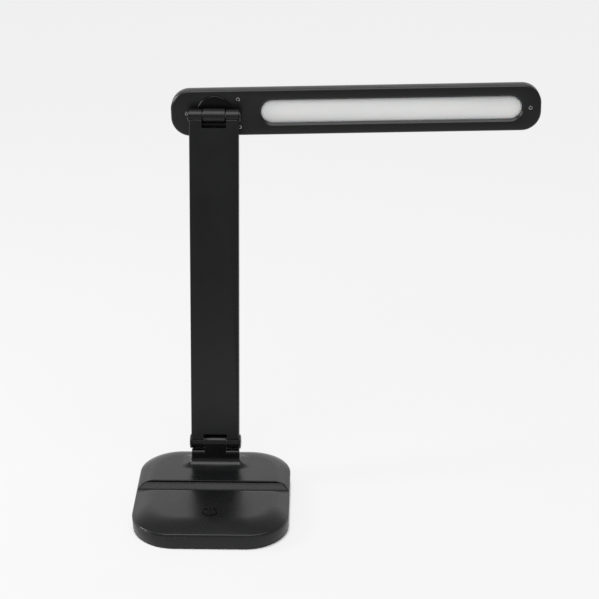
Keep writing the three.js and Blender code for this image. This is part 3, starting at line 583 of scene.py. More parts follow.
def even_steps(steps, start, end):
    """Values in even steps from start to end, both included."""
    return [(step / steps) * (end - start) + start for step in range(steps + 1)]


def rounded(left, right, front, rear, radius, steps=14):
    """Corner-rounded rectangle as points round it, anticlockwise."""
    middles = [
        (right - radius, rear - radius), (left + radius, rear - radius),
        (left + radius, front + radius), (right - radius, front + radius)]
    points = []
    for corner, (x, y) in enumerate(middles):
        for step in range(steps + 1):
            angle = math.pi / 2 * (corner + step / steps)
            points.append((x + radius * math.cos(angle), y + radius * math.sin(angle)))
    return points


def at_height(points, z):
    return [Vector((x, y, z)) for x, y in points]


def first_ring(bm, ring):
    number = bm.verts.layers.int.get(NUMBER) or bm.verts.layers.int.new(NUMBER)
    corners = bmesh.ops.create_circle(bm, cap_ends=False, radius=1.0, segments=len(ring))["verts"]
    for k, corner in enumerate(corners):
        corner[number] = k
        corner.co = ring[k]
    made = set(corners)
    return [e for e in bm.edges if made.issuperset(e.verts)]


def next_ring(bm, edges, ring):
    number = bm.verts.layers.int[NUMBER]
    made = bmesh.ops.extrude_edge_only(bm, edges=edges)["geom"]
    corners = {v for v in made if isinstance(v, bmesh.types.BMVert)}
    for corner in corners:
        corner.co = ring[corner[number]]
    return [e for e in made if isinstance(e, bmesh.types.BMEdge) and corners.issuperset(e.verts)]


def skin(bm, rings, closed_on_itself=False):
    """Adds a skin over rings. Its ends are filled, or its last ring is joined to its first."""
    first = edges = first_ring(bm, rings[0])
    for ring in rings[1:]:
        edges = next_ring(bm, edges, ring)
    if closed_on_itself:
        bmesh.ops.bridge_loops(bm, edges=list(first) + list(edges))
    else:
        bmesh.ops.edgeloop_fill(bm, edges=first)
        bmesh.ops.edgeloop_fill(bm, edges=edges)


def new_piece(name, bm, material, body, place=Matrix.Identity(4), replaces=(), smooth=35):
    """Ends a piece: outward faces, its place in metres, its finish, its body."""
    bmesh.ops.remove_doubles(bm, verts=bm.verts, dist=0.0005)
    bmesh.ops.recalc_face_normals(bm, faces=bm.faces)
    bmesh.ops.transform(bm, matrix=Matrix.Scale(MM, 4) @ place, verts=bm.verts)
    mesh = bpy.data.meshes.new(name)
    bm.to_mesh(mesh)
    bm.free()
    mesh.shade_smooth()
    mesh.set_sharp_from_angle(angle=math.radians(smooth))
    mesh.materials.append(material)
    piece = bpy.data.objects.new(name, mesh)
    bpy.context.scene.collection.objects.link(piece)
    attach(piece, body)
    if replaces:
        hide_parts(*replaces)
    print(name, "faces:", len(mesh.polygons))
    return piece


# %% [markdown]
# Some details are cut: the charging inlet, the recess for the disc, screw seats. A cutter is
# made as a piece of its own, a Boolean modifier takes it away, and the result is kept as a mesh.

# %% Cutting tool


def solid(name, bm, place=Matrix.Identity(4)):
    """A bare helper object in metres, for cutting or joining."""
    bmesh.ops.recalc_face_normals(bm, faces=bm.faces)
    bmesh.ops.transform(bm, matrix=Matrix.Scale(MM, 4) @ place, verts=bm.verts)
    mesh = bpy.data.meshes.new(name)
    bm.to_mesh(mesh)
    bm.free()
    made = bpy.data.objects.new(name, mesh)
    bpy.context.scene.collection.objects.link(made)
    return made


def boolean(piece, tools, operation="DIFFERENCE", smooth=35):
    for tool in tools:
        modifier = piece.modifiers.new("boolean", "BOOLEAN")
        modifier.operation = operation
        modifier.solver = "EXACT"
        modifier.object = tool
    graph = bpy.context.evaluated_depsgraph_get()
    mesh = bpy.data.meshes.new_from_object(piece.evaluated_get(graph))
    piece.modifiers.clear()
    old, piece.data = piece.data, mesh
    bpy.data.meshes.remove(old)
    for tool in tools:
        bpy.data.objects.remove(tool)
    mesh.shade_smooth()
    mesh.set_sharp_from_angle(angle=math.radians(smooth))
    return piece


def rod(radius, start, end, sides=48):
    """A round bar along Z, in millimetres."""
    bm = bmesh.new()
    bmesh.ops.create_cone(
        bm, cap_ends=True, segments=sides, radius1=radius, radius2=radius, depth=end - start,
        matrix=Matrix.Translation((0, 0, (start + end) / 2)))
    return bm


# %% [markdown]
# ## Places of the joints
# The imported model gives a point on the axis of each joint. The arm, the disc and the light bar
# are drawn round the origin and put in their places from there: the arm lies on its back, with
# Y from the lower axis to the upper one, and the bar faces Z with the disc's centre at zero.

# %% Places
place_of_joint = {joint["name"]: Vector(joint["pos_m"]) / MM
                  for joint in frame["record"]["behaviour"]["joints"]}
HINGE = place_of_joint["arm_fold"]
along_arm = place_of_joint["head_tilt"] - HINGE
ARM_REACH = along_arm.length
ARM_LEAN = math.atan2(along_arm.y, along_arm.z)
HEAD_TURN = math.radians(1.48)
ARM_PLACE = Matrix.Translation(HINGE) @ Matrix.Rotation(math.pi / 2 - ARM_LEAN, 4, "X")
DISC_PLACE = Matrix.Translation(place_of_joint["head_swivel"]) @ Matrix.Rotation(math.pi / 2, 4, "X")
HEAD_PLACE = DISC_PLACE @ Matrix.Rotation(HEAD_TURN, 4, "Z")
print("reach", round(ARM_REACH, 1), "lean in degrees", round(math.degrees(ARM_LEAN), 1))

# %% [markdown]
# ## Base tray
# The deep lower half of the base is an open tray. Its wall leans in a little on its way down so
# that it leaves the mould, and both of its edges are broken. Underneath it has a recess for the
# pad. One skin goes round it: from the pad's recess out, up the wall, over the edge and down
# into the inside.

# %% Base tray
low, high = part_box("base_tray")
BASE_WIDTH, BASE_DEPTH = (high - low).x / MM, (high - low).y / MM
BASE_CORNER = 37
UNDER_CORNER = 39
TRAY_FOOT = low.z / MM
TRAY_TOP = high.z / MM
UNDER_ROUND = 0.6
TRAY_LEAN = 0.3
TRAY_EDGE = 0.5
SHELL_WALL = 2.2
PAD_INSET = 12
PAD_RECESS = 1.0
FIT = 0.3
EDGE_STEPS = 4


def base_ring(inset, corner, z, steps=20):
    x, y = BASE_WIDTH / 2 - inset, BASE_DEPTH / 2 - inset
    return at_height(rounded(-x, x, -y, y, corner, steps), z)


def make_tray():
    pad_corner = BASE_CORNER - PAD_INSET
    rings = [base_ring(PAD_INSET - FIT, pad_corner, TRAY_FOOT + PAD_RECESS),
             base_ring(PAD_INSET - FIT, pad_corner, TRAY_FOOT)]
    for angle in even_steps(EDGE_STEPS, 0, math.pi / 2):
        rings.append(base_ring(TRAY_LEAN + UNDER_ROUND * (1 - math.sin(angle)), UNDER_CORNER,
                               TRAY_FOOT + UNDER_ROUND * (1 - math.cos(angle))))
    for angle in even_steps(EDGE_STEPS, 0, math.pi / 2):
        rings.append(base_ring(TRAY_EDGE * (1 - math.cos(angle)), BASE_CORNER,
                               TRAY_TOP - TRAY_EDGE * (1 - math.sin(angle))))
    floor = TRAY_FOOT + SHELL_WALL
    rings.append(base_ring(SHELL_WALL, BASE_CORNER - SHELL_WALL, TRAY_TOP))
    rings.append(base_ring(SHELL_WALL + TRAY_LEAN, UNDER_CORNER - SHELL_WALL, floor))
    bm = bmesh.new()
    skin(bm, rings)
    return new_piece("tray_shell", bm, satin_black, "base", replaces=["base_tray"])


tray = make_tray()

# %% [markdown]
# The charging inlet is a shell of bent sheet steel with a tongue in it. It sits behind an opening
# of its own shape in the rear wall of the tray, and both come from one rounded outline. The shell
# is a skin that turns back on itself, so it has a real wall and stays open at both ends.

# %% Charging inlet
INLET_WALL = 0.35
INLET_DEPTH = 8
TONGUE_HALF_WIDTH, TONGUE_HALF_THICK, TONGUE_CORNER = 2.9, 0.35, 0.2
TONGUE_TIP = 2


def inlet_rings(levels):
    """Rings of the charging inlet: how much wider than its shell, and how deep from its mouth."""
    low, high = (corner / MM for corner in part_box("charging_socket"))
    rings = []
    for grow, depth in levels:
        x, z = (high.x - low.x) / 2 + grow, (high.z - low.z) / 2 + grow
        rings.append(at_height(rounded(-x, x, -z, z, z - 0.05, 10), depth))
    middle = Vector((0, high.y, (low.z + high.z) / 2))
    return rings, Matrix.Translation(middle) @ Matrix.Rotation(-math.pi / 2, 4, "X")


opening = bmesh.new()
rings, mouth = inlet_rings([(FIT, -SHELL_WALL - 1), (FIT, 3)])
skin(opening, rings)
boolean(tray, [solid("inlet_opening", opening, mouth)])
socket = bmesh.new()
rings, mouth = inlet_rings(
    [(-INLET_WALL, 0), (0, 0), (0, -INLET_DEPTH), (-INLET_WALL, -INLET_DEPTH)])
skin(socket, rings, closed_on_itself=True)
new_piece("inlet_shell", socket, bright_steel, "base", mouth, ["charging_socket"])
tongue = bmesh.new()
outline = rounded(-TONGUE_HALF_WIDTH, TONGUE_HALF_WIDTH, -TONGUE_HALF_THICK, TONGUE_HALF_THICK,
                  TONGUE_CORNER, 3)
skin(tongue, [at_height(outline, z) for z in (-INLET_DEPTH, -TONGUE_TIP)])
new_piece("inlet_tongue", tongue, trim_black, "base", mouth)

# %% [markdown]
# ## Base lid
# The lid is a low crown over the whole base. Its height follows from outlines that shrink as
# they rise, like the level lines of a hill: a point's height is that of the level line that
# passes through it. The line is found by halving, and the section is a parabola, which starts
# steep at the rim and ends flat. Before the groove the crown is a little lower than behind it.

# %% Crown of the lid
RIM = 14.6
RIM_ROUND = 0.8
SEAM = TRAY_TOP + FIT
FRONT_RISE, REAR_RISE = 4.7, 6.3
FRONT_ROLL, REAR_ROLL = 24, 17
FRONT_SIDE_ROLL, REAR_SIDE_ROLL = 18, 15
CORNER_ROLL = 12
HALVINGS = 22


def inside_ring(x, y, shrink, side_roll):
    """Whether a point lies inside the crown's outline at that level."""
    half = BASE_WIDTH / 2 - side_roll * shrink
    front = -BASE_DEPTH / 2 + FRONT_ROLL * shrink
    rear = BASE_DEPTH / 2 - REAR_ROLL * shrink
    corner = BASE_CORNER - CORNER_ROLL * shrink
    dx = max(abs(x) - (half - corner), 0)
    dy = max(front + corner - y, y - (rear - corner), 0)
    return abs(x) <= half and front <= y <= rear and math.hypot(dx, dy) <= corner


def crown_height(x, y, behind):
    """Height of the crown over a point, before or behind the groove."""
    rise = REAR_RISE if behind else FRONT_RISE
    side_roll = REAR_SIDE_ROLL if behind else FRONT_SIDE_ROLL
    if inside_ring(x, y, 1, side_roll):
        return RIM + rise
    outer, inner = 0.0, 1.0
    for halving in range(HALVINGS):
        middle = (outer + inner) / 2
        if inside_ring(x, y, middle, side_roll):
            outer = middle
        else:
            inner = middle
    return RIM + rise * (1 - (1 - outer) ** 2)


print("crown heights before and behind the groove", RIM + FRONT_RISE, RIM + REAR_RISE)

# %% [markdown]
# A groove for a phone runs across the lid. Its floor is level at the front and then rises in a
# ramp to the foot of the rear wall, so a phone leans back in it. Cutting the groove would leave
# ragged edges on a curved surface. Here it is drawn as rows instead: each row has its place from
# front to rear and a rule for its height, and rows lie closer together where the surface bends.

# %% Groove and rows
GROOVE_FRONT, GROOVE_REAR = -5.5, 9.0
GROOVE_FLOOR, RAMP_START, RAMP_TOP = 15.0, 1.9, 18.7
COVE = 0.3
FRONT_LIP, REAR_LIP = 0.3, 0.4
END_ROWS = 26
ROW_PITCH = 2.5


def groove_section():
    """The groove as (y, z) pairs: a level floor, a ramp, and the foot of the rear wall."""
    climb = (RAMP_TOP - GROOVE_FLOOR) / (GROOVE_REAR - COVE - RAMP_START)
    section = [(GROOVE_FRONT, GROOVE_FLOOR + 0.4), (GROOVE_FRONT + 0.12, GROOVE_FLOOR + 0.12)]
    section += [(y, GROOVE_FLOOR) for y in even_steps(3, GROOVE_FRONT + 0.4, RAMP_START - 0.3)]
    section += [(y, GROOVE_FLOOR + climb * (y - RAMP_START))
                for y in even_steps(5, RAMP_START + 0.2, GROOVE_REAR - COVE - 0.1)]
    section += [(GROOVE_REAR - COVE + COVE * math.sin(a), RAMP_TOP + COVE * (1 - math.cos(a)))
                for a in even_steps(3, math.radians(35), math.radians(80))]
    return section


def lid_rows():
    """For each row across the lid: its y, and how its height follows from the two crowns."""
    rows = []
    flat = BASE_DEPTH / 2 - BASE_CORNER
    for angle in even_steps(END_ROWS, 0, math.pi / 2):
        rows.append((-flat - BASE_CORNER * math.cos(angle), lambda front, rear: front))
    y = -flat + 2.0
    while y < GROOVE_FRONT - FRONT_LIP - 1.0:
        rows.append((y, lambda front, rear: front))
        y += ROW_PITCH
    for angle in even_steps(5, 0, math.pi / 2):
        drop = FRONT_LIP * (1 - math.cos(angle))
        rows.append((GROOVE_FRONT - FRONT_LIP * (1 - math.sin(angle)),
                     lambda front, rear, drop=drop: max(front - drop, min(front, GROOVE_FLOOR))))
    for share in (0.35, 0.7):
        rows.append((GROOVE_FRONT, lambda front, rear, share=share: (
            (front - FRONT_LIP) * (1 - share) + (GROOVE_FLOOR + 0.4) * share)))
    rows += [(y, lambda front, rear, z=z: z) for y, z in groove_section()]
    for angle in even_steps(4, 0, math.pi / 2):
        drop = REAR_LIP * (1 - math.sin(angle))
        rows.append((GROOVE_REAR + REAR_LIP * (1 - math.cos(angle)),
                     lambda front, rear, drop=drop: max(rear - drop, min(rear, GROOVE_FLOOR))))
    y = GROOVE_REAR + REAR_LIP + 1.5
    while y < flat - 1.0:
        rows.append((y, lambda front, rear: rear))
        y += ROW_PITCH
    for angle in even_steps(END_ROWS, 0, math.pi / 2):
        rows.append((flat + BASE_CORNER * math.sin(angle), lambda front, rear: rear))
    return rows


print("rows across the lid:", len(lid_rows()))

# %% [markdown]
# The lid starts as a flat grid with one line of faces between every two rows. Each row is
# stretched to the outline of the base and lifted to its height, and the rim is rounded off by
# the distance from the outline. A short upright skirt below it ends at the seam with the tray.

# %% Lid
LID_COLUMNS = 96


def half_width(y):
    past = max(abs(y) - (BASE_DEPTH / 2 - BASE_CORNER), 0.0)
    straight = BASE_WIDTH / 2 - BASE_CORNER
    return straight + math.sqrt(max(BASE_CORNER ** 2 - past ** 2, 0.0))


def rim_drop(x, y):
    """How far the rounded rim lies below the crown, by the distance from the outline."""
    flat_x, flat_y = BASE_WIDTH / 2 - BASE_CORNER, BASE_DEPTH / 2 - BASE_CORNER
    dx, dy = max(abs(x) - flat_x, 0.0), max(abs(y) - flat_y, 0.0)
    inside = BASE_CORNER - math.hypot(dx, dy)
    short = max(0.0, 1 - max(inside, 0.0) / RIM_ROUND)
    return RIM_ROUND * (1 - math.sqrt(max(0.0, 1 - short * short)))


def lid_height(x, y, height):
    """The height of a row's own rule, held below the crown that it lies on."""
    front, rear = crown_height(x, y, False), crown_height(x, y, True)
    if y < GROOVE_FRONT + 0.001:
        return min(height(front, rear), front)
    if y > GROOVE_REAR - 0.001:
        return min(height(front, rear), rear)
    return min(height(front, rear), max(front, rear))


def make_lid():
    rows = lid_rows()
    bm = bmesh.new()
    grid = bmesh.ops.create_grid(
        bm, x_segments=LID_COLUMNS, y_segments=len(rows) - 1, size=0.5)["verts"]
    for corner in grid:
        column = round((corner.co.x + 0.5) * LID_COLUMNS)
        y, height = rows[round((corner.co.y + 0.5) * (len(rows) - 1))]
        x = half_width(y) * math.sin(math.pi / 2 * (2 * column / LID_COLUMNS - 1))
        corner.co = (x, y, lid_height(x, y, height) - rim_drop(x, y))
    bmesh.ops.remove_doubles(bm, verts=bm.verts, dist=0.002)
    edge = [e for e in bm.edges if e.is_boundary]
    past = 0.0
    for inset, z in ((0.0, SEAM + 0.2), (0.06, SEAM + 0.06), (0.2, SEAM), (SHELL_WALL, SEAM),
                     (SHELL_WALL + 0.5, SEAM + 0.9)):
        made = bmesh.ops.extrude_edge_only(bm, edges=edge)["geom"]
        corners = {v for v in made if isinstance(v, bmesh.types.BMVert)}
        for corner in corners:
            out = Vector((corner.co.x, corner.co.y))
            inward = out * (1 - (inset - past) / out.length)
            corner.co = (inward.x, inward.y, z)
        past = inset
        edge = [e for e in made if isinstance(e, bmesh.types.BMEdge) and corners.issuperset(e.verts)]
    bmesh.ops.edgeloop_fill(bm, edges=edge)
    return bm


new_piece("lid_shell", make_lid(), lid_black, "base", replaces=["base_lid"])

# %% [markdown]
# ## Neck and knuckle
# The neck is a block as wide as the arm. A wide hollow curve leads into it from the lid on all
# sides, and it ends in two shoulders with round front and rear edges. The lowest ring of the
# neck lies on the crown itself, point by point, so the two surfaces run into each other.

# %% Neck
KNUCKLE = 6.2
ARM_HALF = 22.15
SHOULDER = 34.7
SHOULDER_ROUND = 2.6
NECK_FRONT, NECK_REAR = HINGE.y - KNUCKLE, HINGE.y + KNUCKLE
FLARE_FRONT, FLARE_SIDE, FLARE_REAR = 10.5, 12, 8
FLARE_HEIGHT = 7.6
FLARE_POWER = 2 / 2.4
NECK_CORNER = 1.2
FLARE_CORNER = 8


def make_neck():
    rings = []
    for angle in even_steps(18, 0, math.pi / 2):
        flare = 1 - abs(math.sin(angle)) ** FLARE_POWER
        x = ARM_HALF + FLARE_SIDE * flare
        points = rounded(-x, x, NECK_FRONT - FLARE_FRONT * flare, NECK_REAR + FLARE_REAR * flare,
                         NECK_CORNER + FLARE_CORNER * flare)
        lift = FLARE_HEIGHT * (1 - abs(math.cos(angle)) ** FLARE_POWER) - 0.04
        rings.append([Vector((px, py, crown_height(px, py, True) + lift)) for px, py in points])
    for angle in even_steps(7, 0, math.pi / 2):
        x = ARM_HALF - 0.5 * (1 - math.cos(angle))
        inset = SHOULDER_ROUND * (1 - math.cos(angle))
        points = rounded(-x, x, NECK_FRONT + inset, NECK_REAR - inset, NECK_CORNER)
        rings.append(at_height(points, SHOULDER - SHOULDER_ROUND * (1 - math.sin(angle))))
    rings.insert(0, [Vector((p.x, p.y, RIM + 1)) for p in rings[0]])
    bm = bmesh.new()
    skin(bm, rings)
    return bm


new_piece("neck", make_neck(), lid_black, "base")

# %% [markdown]
# Between the shoulders a tab goes on up, flush with the front wall of the neck, and ends in the
# round knuckle of the hinge. It is a skin from left to right over one outline. On each side a
# friction disc fills the gap to the arm's ear. The discs are turned parts, so they are plain rods.

# %% Knuckle and friction discs
TAB_HALF = 9.9
EAR_INNER = 10.9
FRICTION_DISC = 5.8
DISC_PLAY = 0.1


def make_knuckle():
    edge, flush = 0.6, 0.02
    foot = SHOULDER - SHOULDER_ROUND - 1
    slices = [(-TAB_HALF, edge), (-TAB_HALF + edge * 0.3, edge * 0.3), (-TAB_HALF + edge, -flush)]
    loops = []
    for x, inset in slices + [(-x, inset) for x, inset in reversed(slices)]:
        radius = KNUCKLE - inset
        loop = [Vector((x, HINGE.y + radius, foot)), Vector((x, HINGE.y - radius, foot))]
        loop += [Vector((x, HINGE.y + radius * math.cos(a), HINGE.z + radius * math.sin(a)))
                 for a in even_steps(36, math.pi, 0)]
        loops.append(loop)
    bm = bmesh.new()
    skin(bm, loops)
    return bm


new_piece("lower_knuckle", make_knuckle(), lid_black, "base")
for word, side in (("left", -1), ("right", 1)):
    across = Matrix.Translation(HINGE) @ Matrix.Rotation(side * math.pi / 2, 4, "Y")
    disc = rod(FRICTION_DISC, TAB_HALF + DISC_PLAY, EAR_INNER - DISC_PLAY)
    new_piece(f"lower_friction_disc_{word}", disc, blackened, "arm", across)

# %% [markdown]
# ## Arm
# The two covers of the arm are flat mouldings whose long edges catch the light. Their shape in
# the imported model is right, so each is copied, its loose triangles are joined again into flat
# faces, and every sharp edge gets a small soft bevel.

# %% Soft copy of a node
FLAT_ANGLE = math.radians(0.5)


def softened(node, width, cutters=(), sharp=28.0, segments=2):
    bm = bmesh.new()
    bm.from_mesh(nodes[node].data)
    bmesh.ops.scale(bm, vec=(1 / MM, 1 / MM, 1 / MM), verts=bm.verts)
    bmesh.ops.remove_doubles(bm, verts=bm.verts, dist=0.001)
    bmesh.ops.dissolve_limit(bm, angle_limit=FLAT_ANGLE, verts=bm.verts, edges=bm.edges)
    if cutters:
        whole = boolean(solid("whole_cover", bm), cutters)
        bm = bmesh.new()
        bm.from_mesh(whole.data)
        bpy.data.objects.remove(whole)
        bmesh.ops.scale(bm, vec=(1 / MM, 1 / MM, 1 / MM), verts=bm.verts)
        bmesh.ops.remove_doubles(bm, verts=bm.verts, dist=0.01)
        bmesh.ops.dissolve_limit(bm, angle_limit=FLAT_ANGLE, verts=bm.verts, edges=bm.edges)
    edges = [e for e in bm.edges
             if len(e.link_faces) == 2 and e.calc_face_angle() > math.radians(sharp)]
    bmesh.ops.bevel(bm, geom=edges, offset=width, offset_type="OFFSET", segments=segments,
                    profile=0.5, affect="EDGES", material=-1, clamp_overlap=True)
    return bm


# %% [markdown]
# Two things are cut before the edges are softened. The upper corners of the front cover are
# rounded further, with a cutter shaped like the corner that goes. And the pocket in which the
# upper hinge turns is made a little deeper, with a plain block, so that its shadow is as dark as
# on the real lamp.

# %% Arm covers
COVER_END = ARM_REACH - 2.8
COVER_CORNER = 2.4
CORNER_DEPTH = 9.0
POCKET_END = 9.1
POCKET_DEEPER = 0.8
POCKET_TALL = 16
BESIDE = 2


def corner_cutter(side):
    """What a rounded upper corner leaves out: a square corner less a quarter disc."""
    x, y = ARM_HALF - COVER_CORNER, COVER_END - COVER_CORNER
    arc = [(side * (x + COVER_CORNER * math.sin(a)), y + COVER_CORNER * math.cos(a))
           for a in even_steps(10, 0, math.pi / 2)]
    past_x, past_y = ARM_HALF + BESIDE, COVER_END + BESIDE
    outer = [(side * past_x, y), (side * past_x, past_y), (side * x, past_y)]
    bm = bmesh.new()
    skin(bm, [at_height(arc + outer, z) for z in (0.0, CORNER_DEPTH)])
    return solid(f"corner_cutter_{side}", bm, ARM_PLACE)


pocket = bmesh.new()
bmesh.ops.create_cube(pocket, size=1.0)
bmesh.ops.scale(pocket, vec=(2 * EAR_INNER, POCKET_DEEPER + 1.0, POCKET_TALL),
                  verts=pocket.verts)
bmesh.ops.translate(pocket, vec=(0, ARM_REACH - POCKET_END - POCKET_DEEPER / 2, 0),
                      verts=pocket.verts)
cutters = [corner_cutter(-1), corner_cutter(1), solid("pocket_cutter", pocket, ARM_PLACE)]
new_piece("arm_front", softened("arm_front_cover", 0.25, cutters),
          satin_black, "arm", replaces=["arm_front_cover"], smooth=20)
new_piece("arm_rear", softened("arm_rear_cover", 0.2), satin_black, "arm",
          replaces=["arm_rear_cover"], smooth=20)

# %% [markdown]
# ## Head frame
# The front of the light bar is one frame. Seen from the front it has a flat face, a soft bevel
# round the outside, and a wider bevel that leads into the slot. One skin goes round the frame's
# section and joins up with itself, which gives a through slot without any cutting.

# %% Head frame
HEAD_LEFT, HEAD_RIGHT = -39.5, 292.9
HEAD_HEIGHT = 42.4
HEAD_THICK = 12.0
HEAD_CORNER = 17.4
FACE_BEVEL = 1.5
FRAME_DEPTH = 3.0
SLOT_LEFT, SLOT_RIGHT = 41.6, 275.6
SLOT_HEIGHT = 21.8
SLOT_RAISED = 0.1
SLOT_BEVEL = 1.8


def head_ring(inset, z, steps=24):
    y = HEAD_HEIGHT / 2 - inset
    return at_height(
        rounded(HEAD_LEFT + inset, HEAD_RIGHT - inset, -y, y, HEAD_CORNER - inset, steps), z)


def slot_ring(grow, z, steps=24):
    y = SLOT_HEIGHT / 2 + grow
    return at_height(rounded(SLOT_LEFT - grow, SLOT_RIGHT + grow, SLOT_RAISED - y,
                             SLOT_RAISED + y, y - 0.001, steps), z)


def make_frame():
    rings = [head_ring(0.0, -FRAME_DEPTH)]
    for inset, z in ((0.0, -FACE_BEVEL - 0.25), (0.06, -FACE_BEVEL + 0.05), (0.3, -FACE_BEVEL + 0.4),
                     (FACE_BEVEL - 0.4, -0.3), (FACE_BEVEL - 0.05, -0.05), (FACE_BEVEL + 0.3, 0.0)):
        rings.append(head_ring(inset, z))
    for grow, z in ((SLOT_BEVEL + 0.3, 0.0), (SLOT_BEVEL - 0.05, -0.05), (SLOT_BEVEL - 0.35, -0.3),
                    (0.35, -SLOT_BEVEL + 0.1), (0.08, -SLOT_BEVEL - 0.1), (0.0, -SLOT_BEVEL - 0.4),
                    (0.0, -FRAME_DEPTH)):
        rings.append(slot_ring(grow, z))
    bm = bmesh.new()
    skin(bm, rings, closed_on_itself=True)
    return bm


frame_piece = new_piece("head_frame", make_frame(), satin_black, "head",
                        HEAD_PLACE, ["head_bezel"])

# %% [markdown]
# The back of the light bar is a shallow tray with a rounded rear edge. Its front edge stops just
# short of the frame, so a fine dark joint runs round the bar, as between two real mouldings.

# %% Head back
BACK_ROUND = 2.2
BACK_WALL = 1.8


def make_head_shell():
    rings = []
    for angle in even_steps(2 * EDGE_STEPS, 0, math.pi / 2):
        rings.append(head_ring(BACK_ROUND * (1 - math.sin(angle)),
                               -HEAD_THICK + BACK_ROUND * (1 - math.cos(angle))))
    front = -FRAME_DEPTH - FIT
    for inset, z in ((0.0, front - 0.3), (0.09, front - 0.09), (0.3, front), (BACK_WALL, front),
                     (BACK_WALL, -HEAD_THICK + BACK_WALL)):
        rings.append(head_ring(inset, z))
    bm = bmesh.new()
    skin(bm, rings)
    return bm


new_piece("head_back", make_head_shell(), satin_black, "head", HEAD_PLACE,
          ["head_shell"])

# %% [markdown]
# The disc of the yoke turns in a round recess in the frame's face, and four screws sit in
# seats of their own. These are cut with round bars, because a flat face takes a clean cut.

# %% Recess and screw seats
DISC_RADIUS = 16.3
DISC_RECESS = 2.6
HUB_RADIUS = 9.0
HUB_RECESS = 9.0
FACE_SCREWS = [(21.3, 12.4), (-25.1, 0.0), (22.0, -13.3), (283.3, 0.0)]
SCREW_HEAD = 2.0
SCREW_SEAT = 1.4
CUT_ABOVE = 3.0
recess_rods = [(0.0, 0.0, DISC_RADIUS + FIT, DISC_RECESS, 96),
               (0.0, 0.0, HUB_RADIUS + FIT, HUB_RECESS, 96)]
recess_rods += [(x, y, SCREW_HEAD + FIT, SCREW_SEAT, 40) for x, y in FACE_SCREWS]
cutters = []
for k, (x, y, radius, depth, sides) in enumerate(recess_rods):
    place = HEAD_PLACE @ Matrix.Translation((x, y, 0))
    cutters.append(solid(f"cutter_{k}", rod(radius, -depth, CUT_ABOVE, sides), place))
boolean(frame_piece, cutters)
print("recess and screw seats cut:", len(recess_rods))

# %% [markdown]
# ## Diffuser
# The opal bar fills the slot from behind and stands up in it in a low crown. It is a skin over
# the slot's own outline, a little smaller each time: flange, step, and then the crown as a
# quarter of an ellipse, so it meets the slot's wall upright and ends flat.

# %% Diffuser
DIFFUSER_BACK = -3.2
DIFFUSER_CROWN = 1.35
FLANGE, FLANGE_THICK = 2.2, 1.2
CROWN_STEPS = 14


def make_diffuser():
    rings = [slot_ring(FLANGE, DIFFUSER_BACK - FLANGE_THICK), slot_ring(FLANGE, DIFFUSER_BACK),
             slot_ring(-FIT, DIFFUSER_BACK)]
    for angle in even_steps(CROWN_STEPS, 0, math.pi / 2)[1:-1]:
        inset = (SLOT_HEIGHT / 2 - FIT) * (1 - math.cos(angle))
        rings.append(slot_ring(-FIT - inset, DIFFUSER_BACK + DIFFUSER_CROWN * math.sin(angle)))
    bm = bmesh.new()
    skin(bm, rings)
    return bm


new_piece("opal_bar", make_diffuser(), opal, "head", HEAD_PLACE, ["diffuser"])

# %% [markdown]
# ## Yoke
# Barrel, web and disc are one moulding. Round parts are turned from a profile: half of the
# section is drawn once and spun round an axis, and its first and last points lie on that axis.

# %% Turned parts


def spun(profile, steps=96):
    """A profile of (radius, height) pairs, spun round Z."""
    bm = bmesh.new()
    corners = [bmesh.ops.create_vert(bm, co=(radius, 0, height))["vert"][0]
               for radius, height in profile]
    edges = [bm.edges.new(pair) for pair in zip(corners, corners[1:])]
    bmesh.ops.spin(bm, geom=corners + edges, axis=(0, 0, 1), cent=(0, 0, 0), angle=2 * math.pi,
                   steps=steps, use_merge=True)
    bmesh.ops.remove_doubles(bm, verts=bm.verts, dist=0.001)
    return bm


def rounded_end(radius, edge, level, steps=4):
    """The points of a rounded outer edge, from the side of a disc over to its flat end."""
    return [(radius - edge * (1 - math.cos(a)), level - edge * (1 - math.sin(a)))
            for a in even_steps(steps, 0, math.pi / 2)]


# %% [markdown]
# The disc stands slightly proud of the face of the light bar, with a bevelled edge that draws a
# thin bright arc. It is spun round its own axis and the barrel round the hinge's, and a soft
# block joins the two. The disc is darker than the rest, so the yoke keeps two finishes: the
# second one goes on the faces of barrel and block before all three are joined.

# %% Yoke
DISC_THICK = 2.3
DISC_PROUD = 0.9
DISC_BEVEL = 0.6
BARREL = 6.55
BARREL_EDGE = 0.4
AXIS_FORWARD = 8.5
AXIS_ABOVE = 0.4
HUB_LENGTH = 4.9
WEB_TOP, WEB_BOTTOM = 4.2, -4.8
WEB_EDGE = 0.5


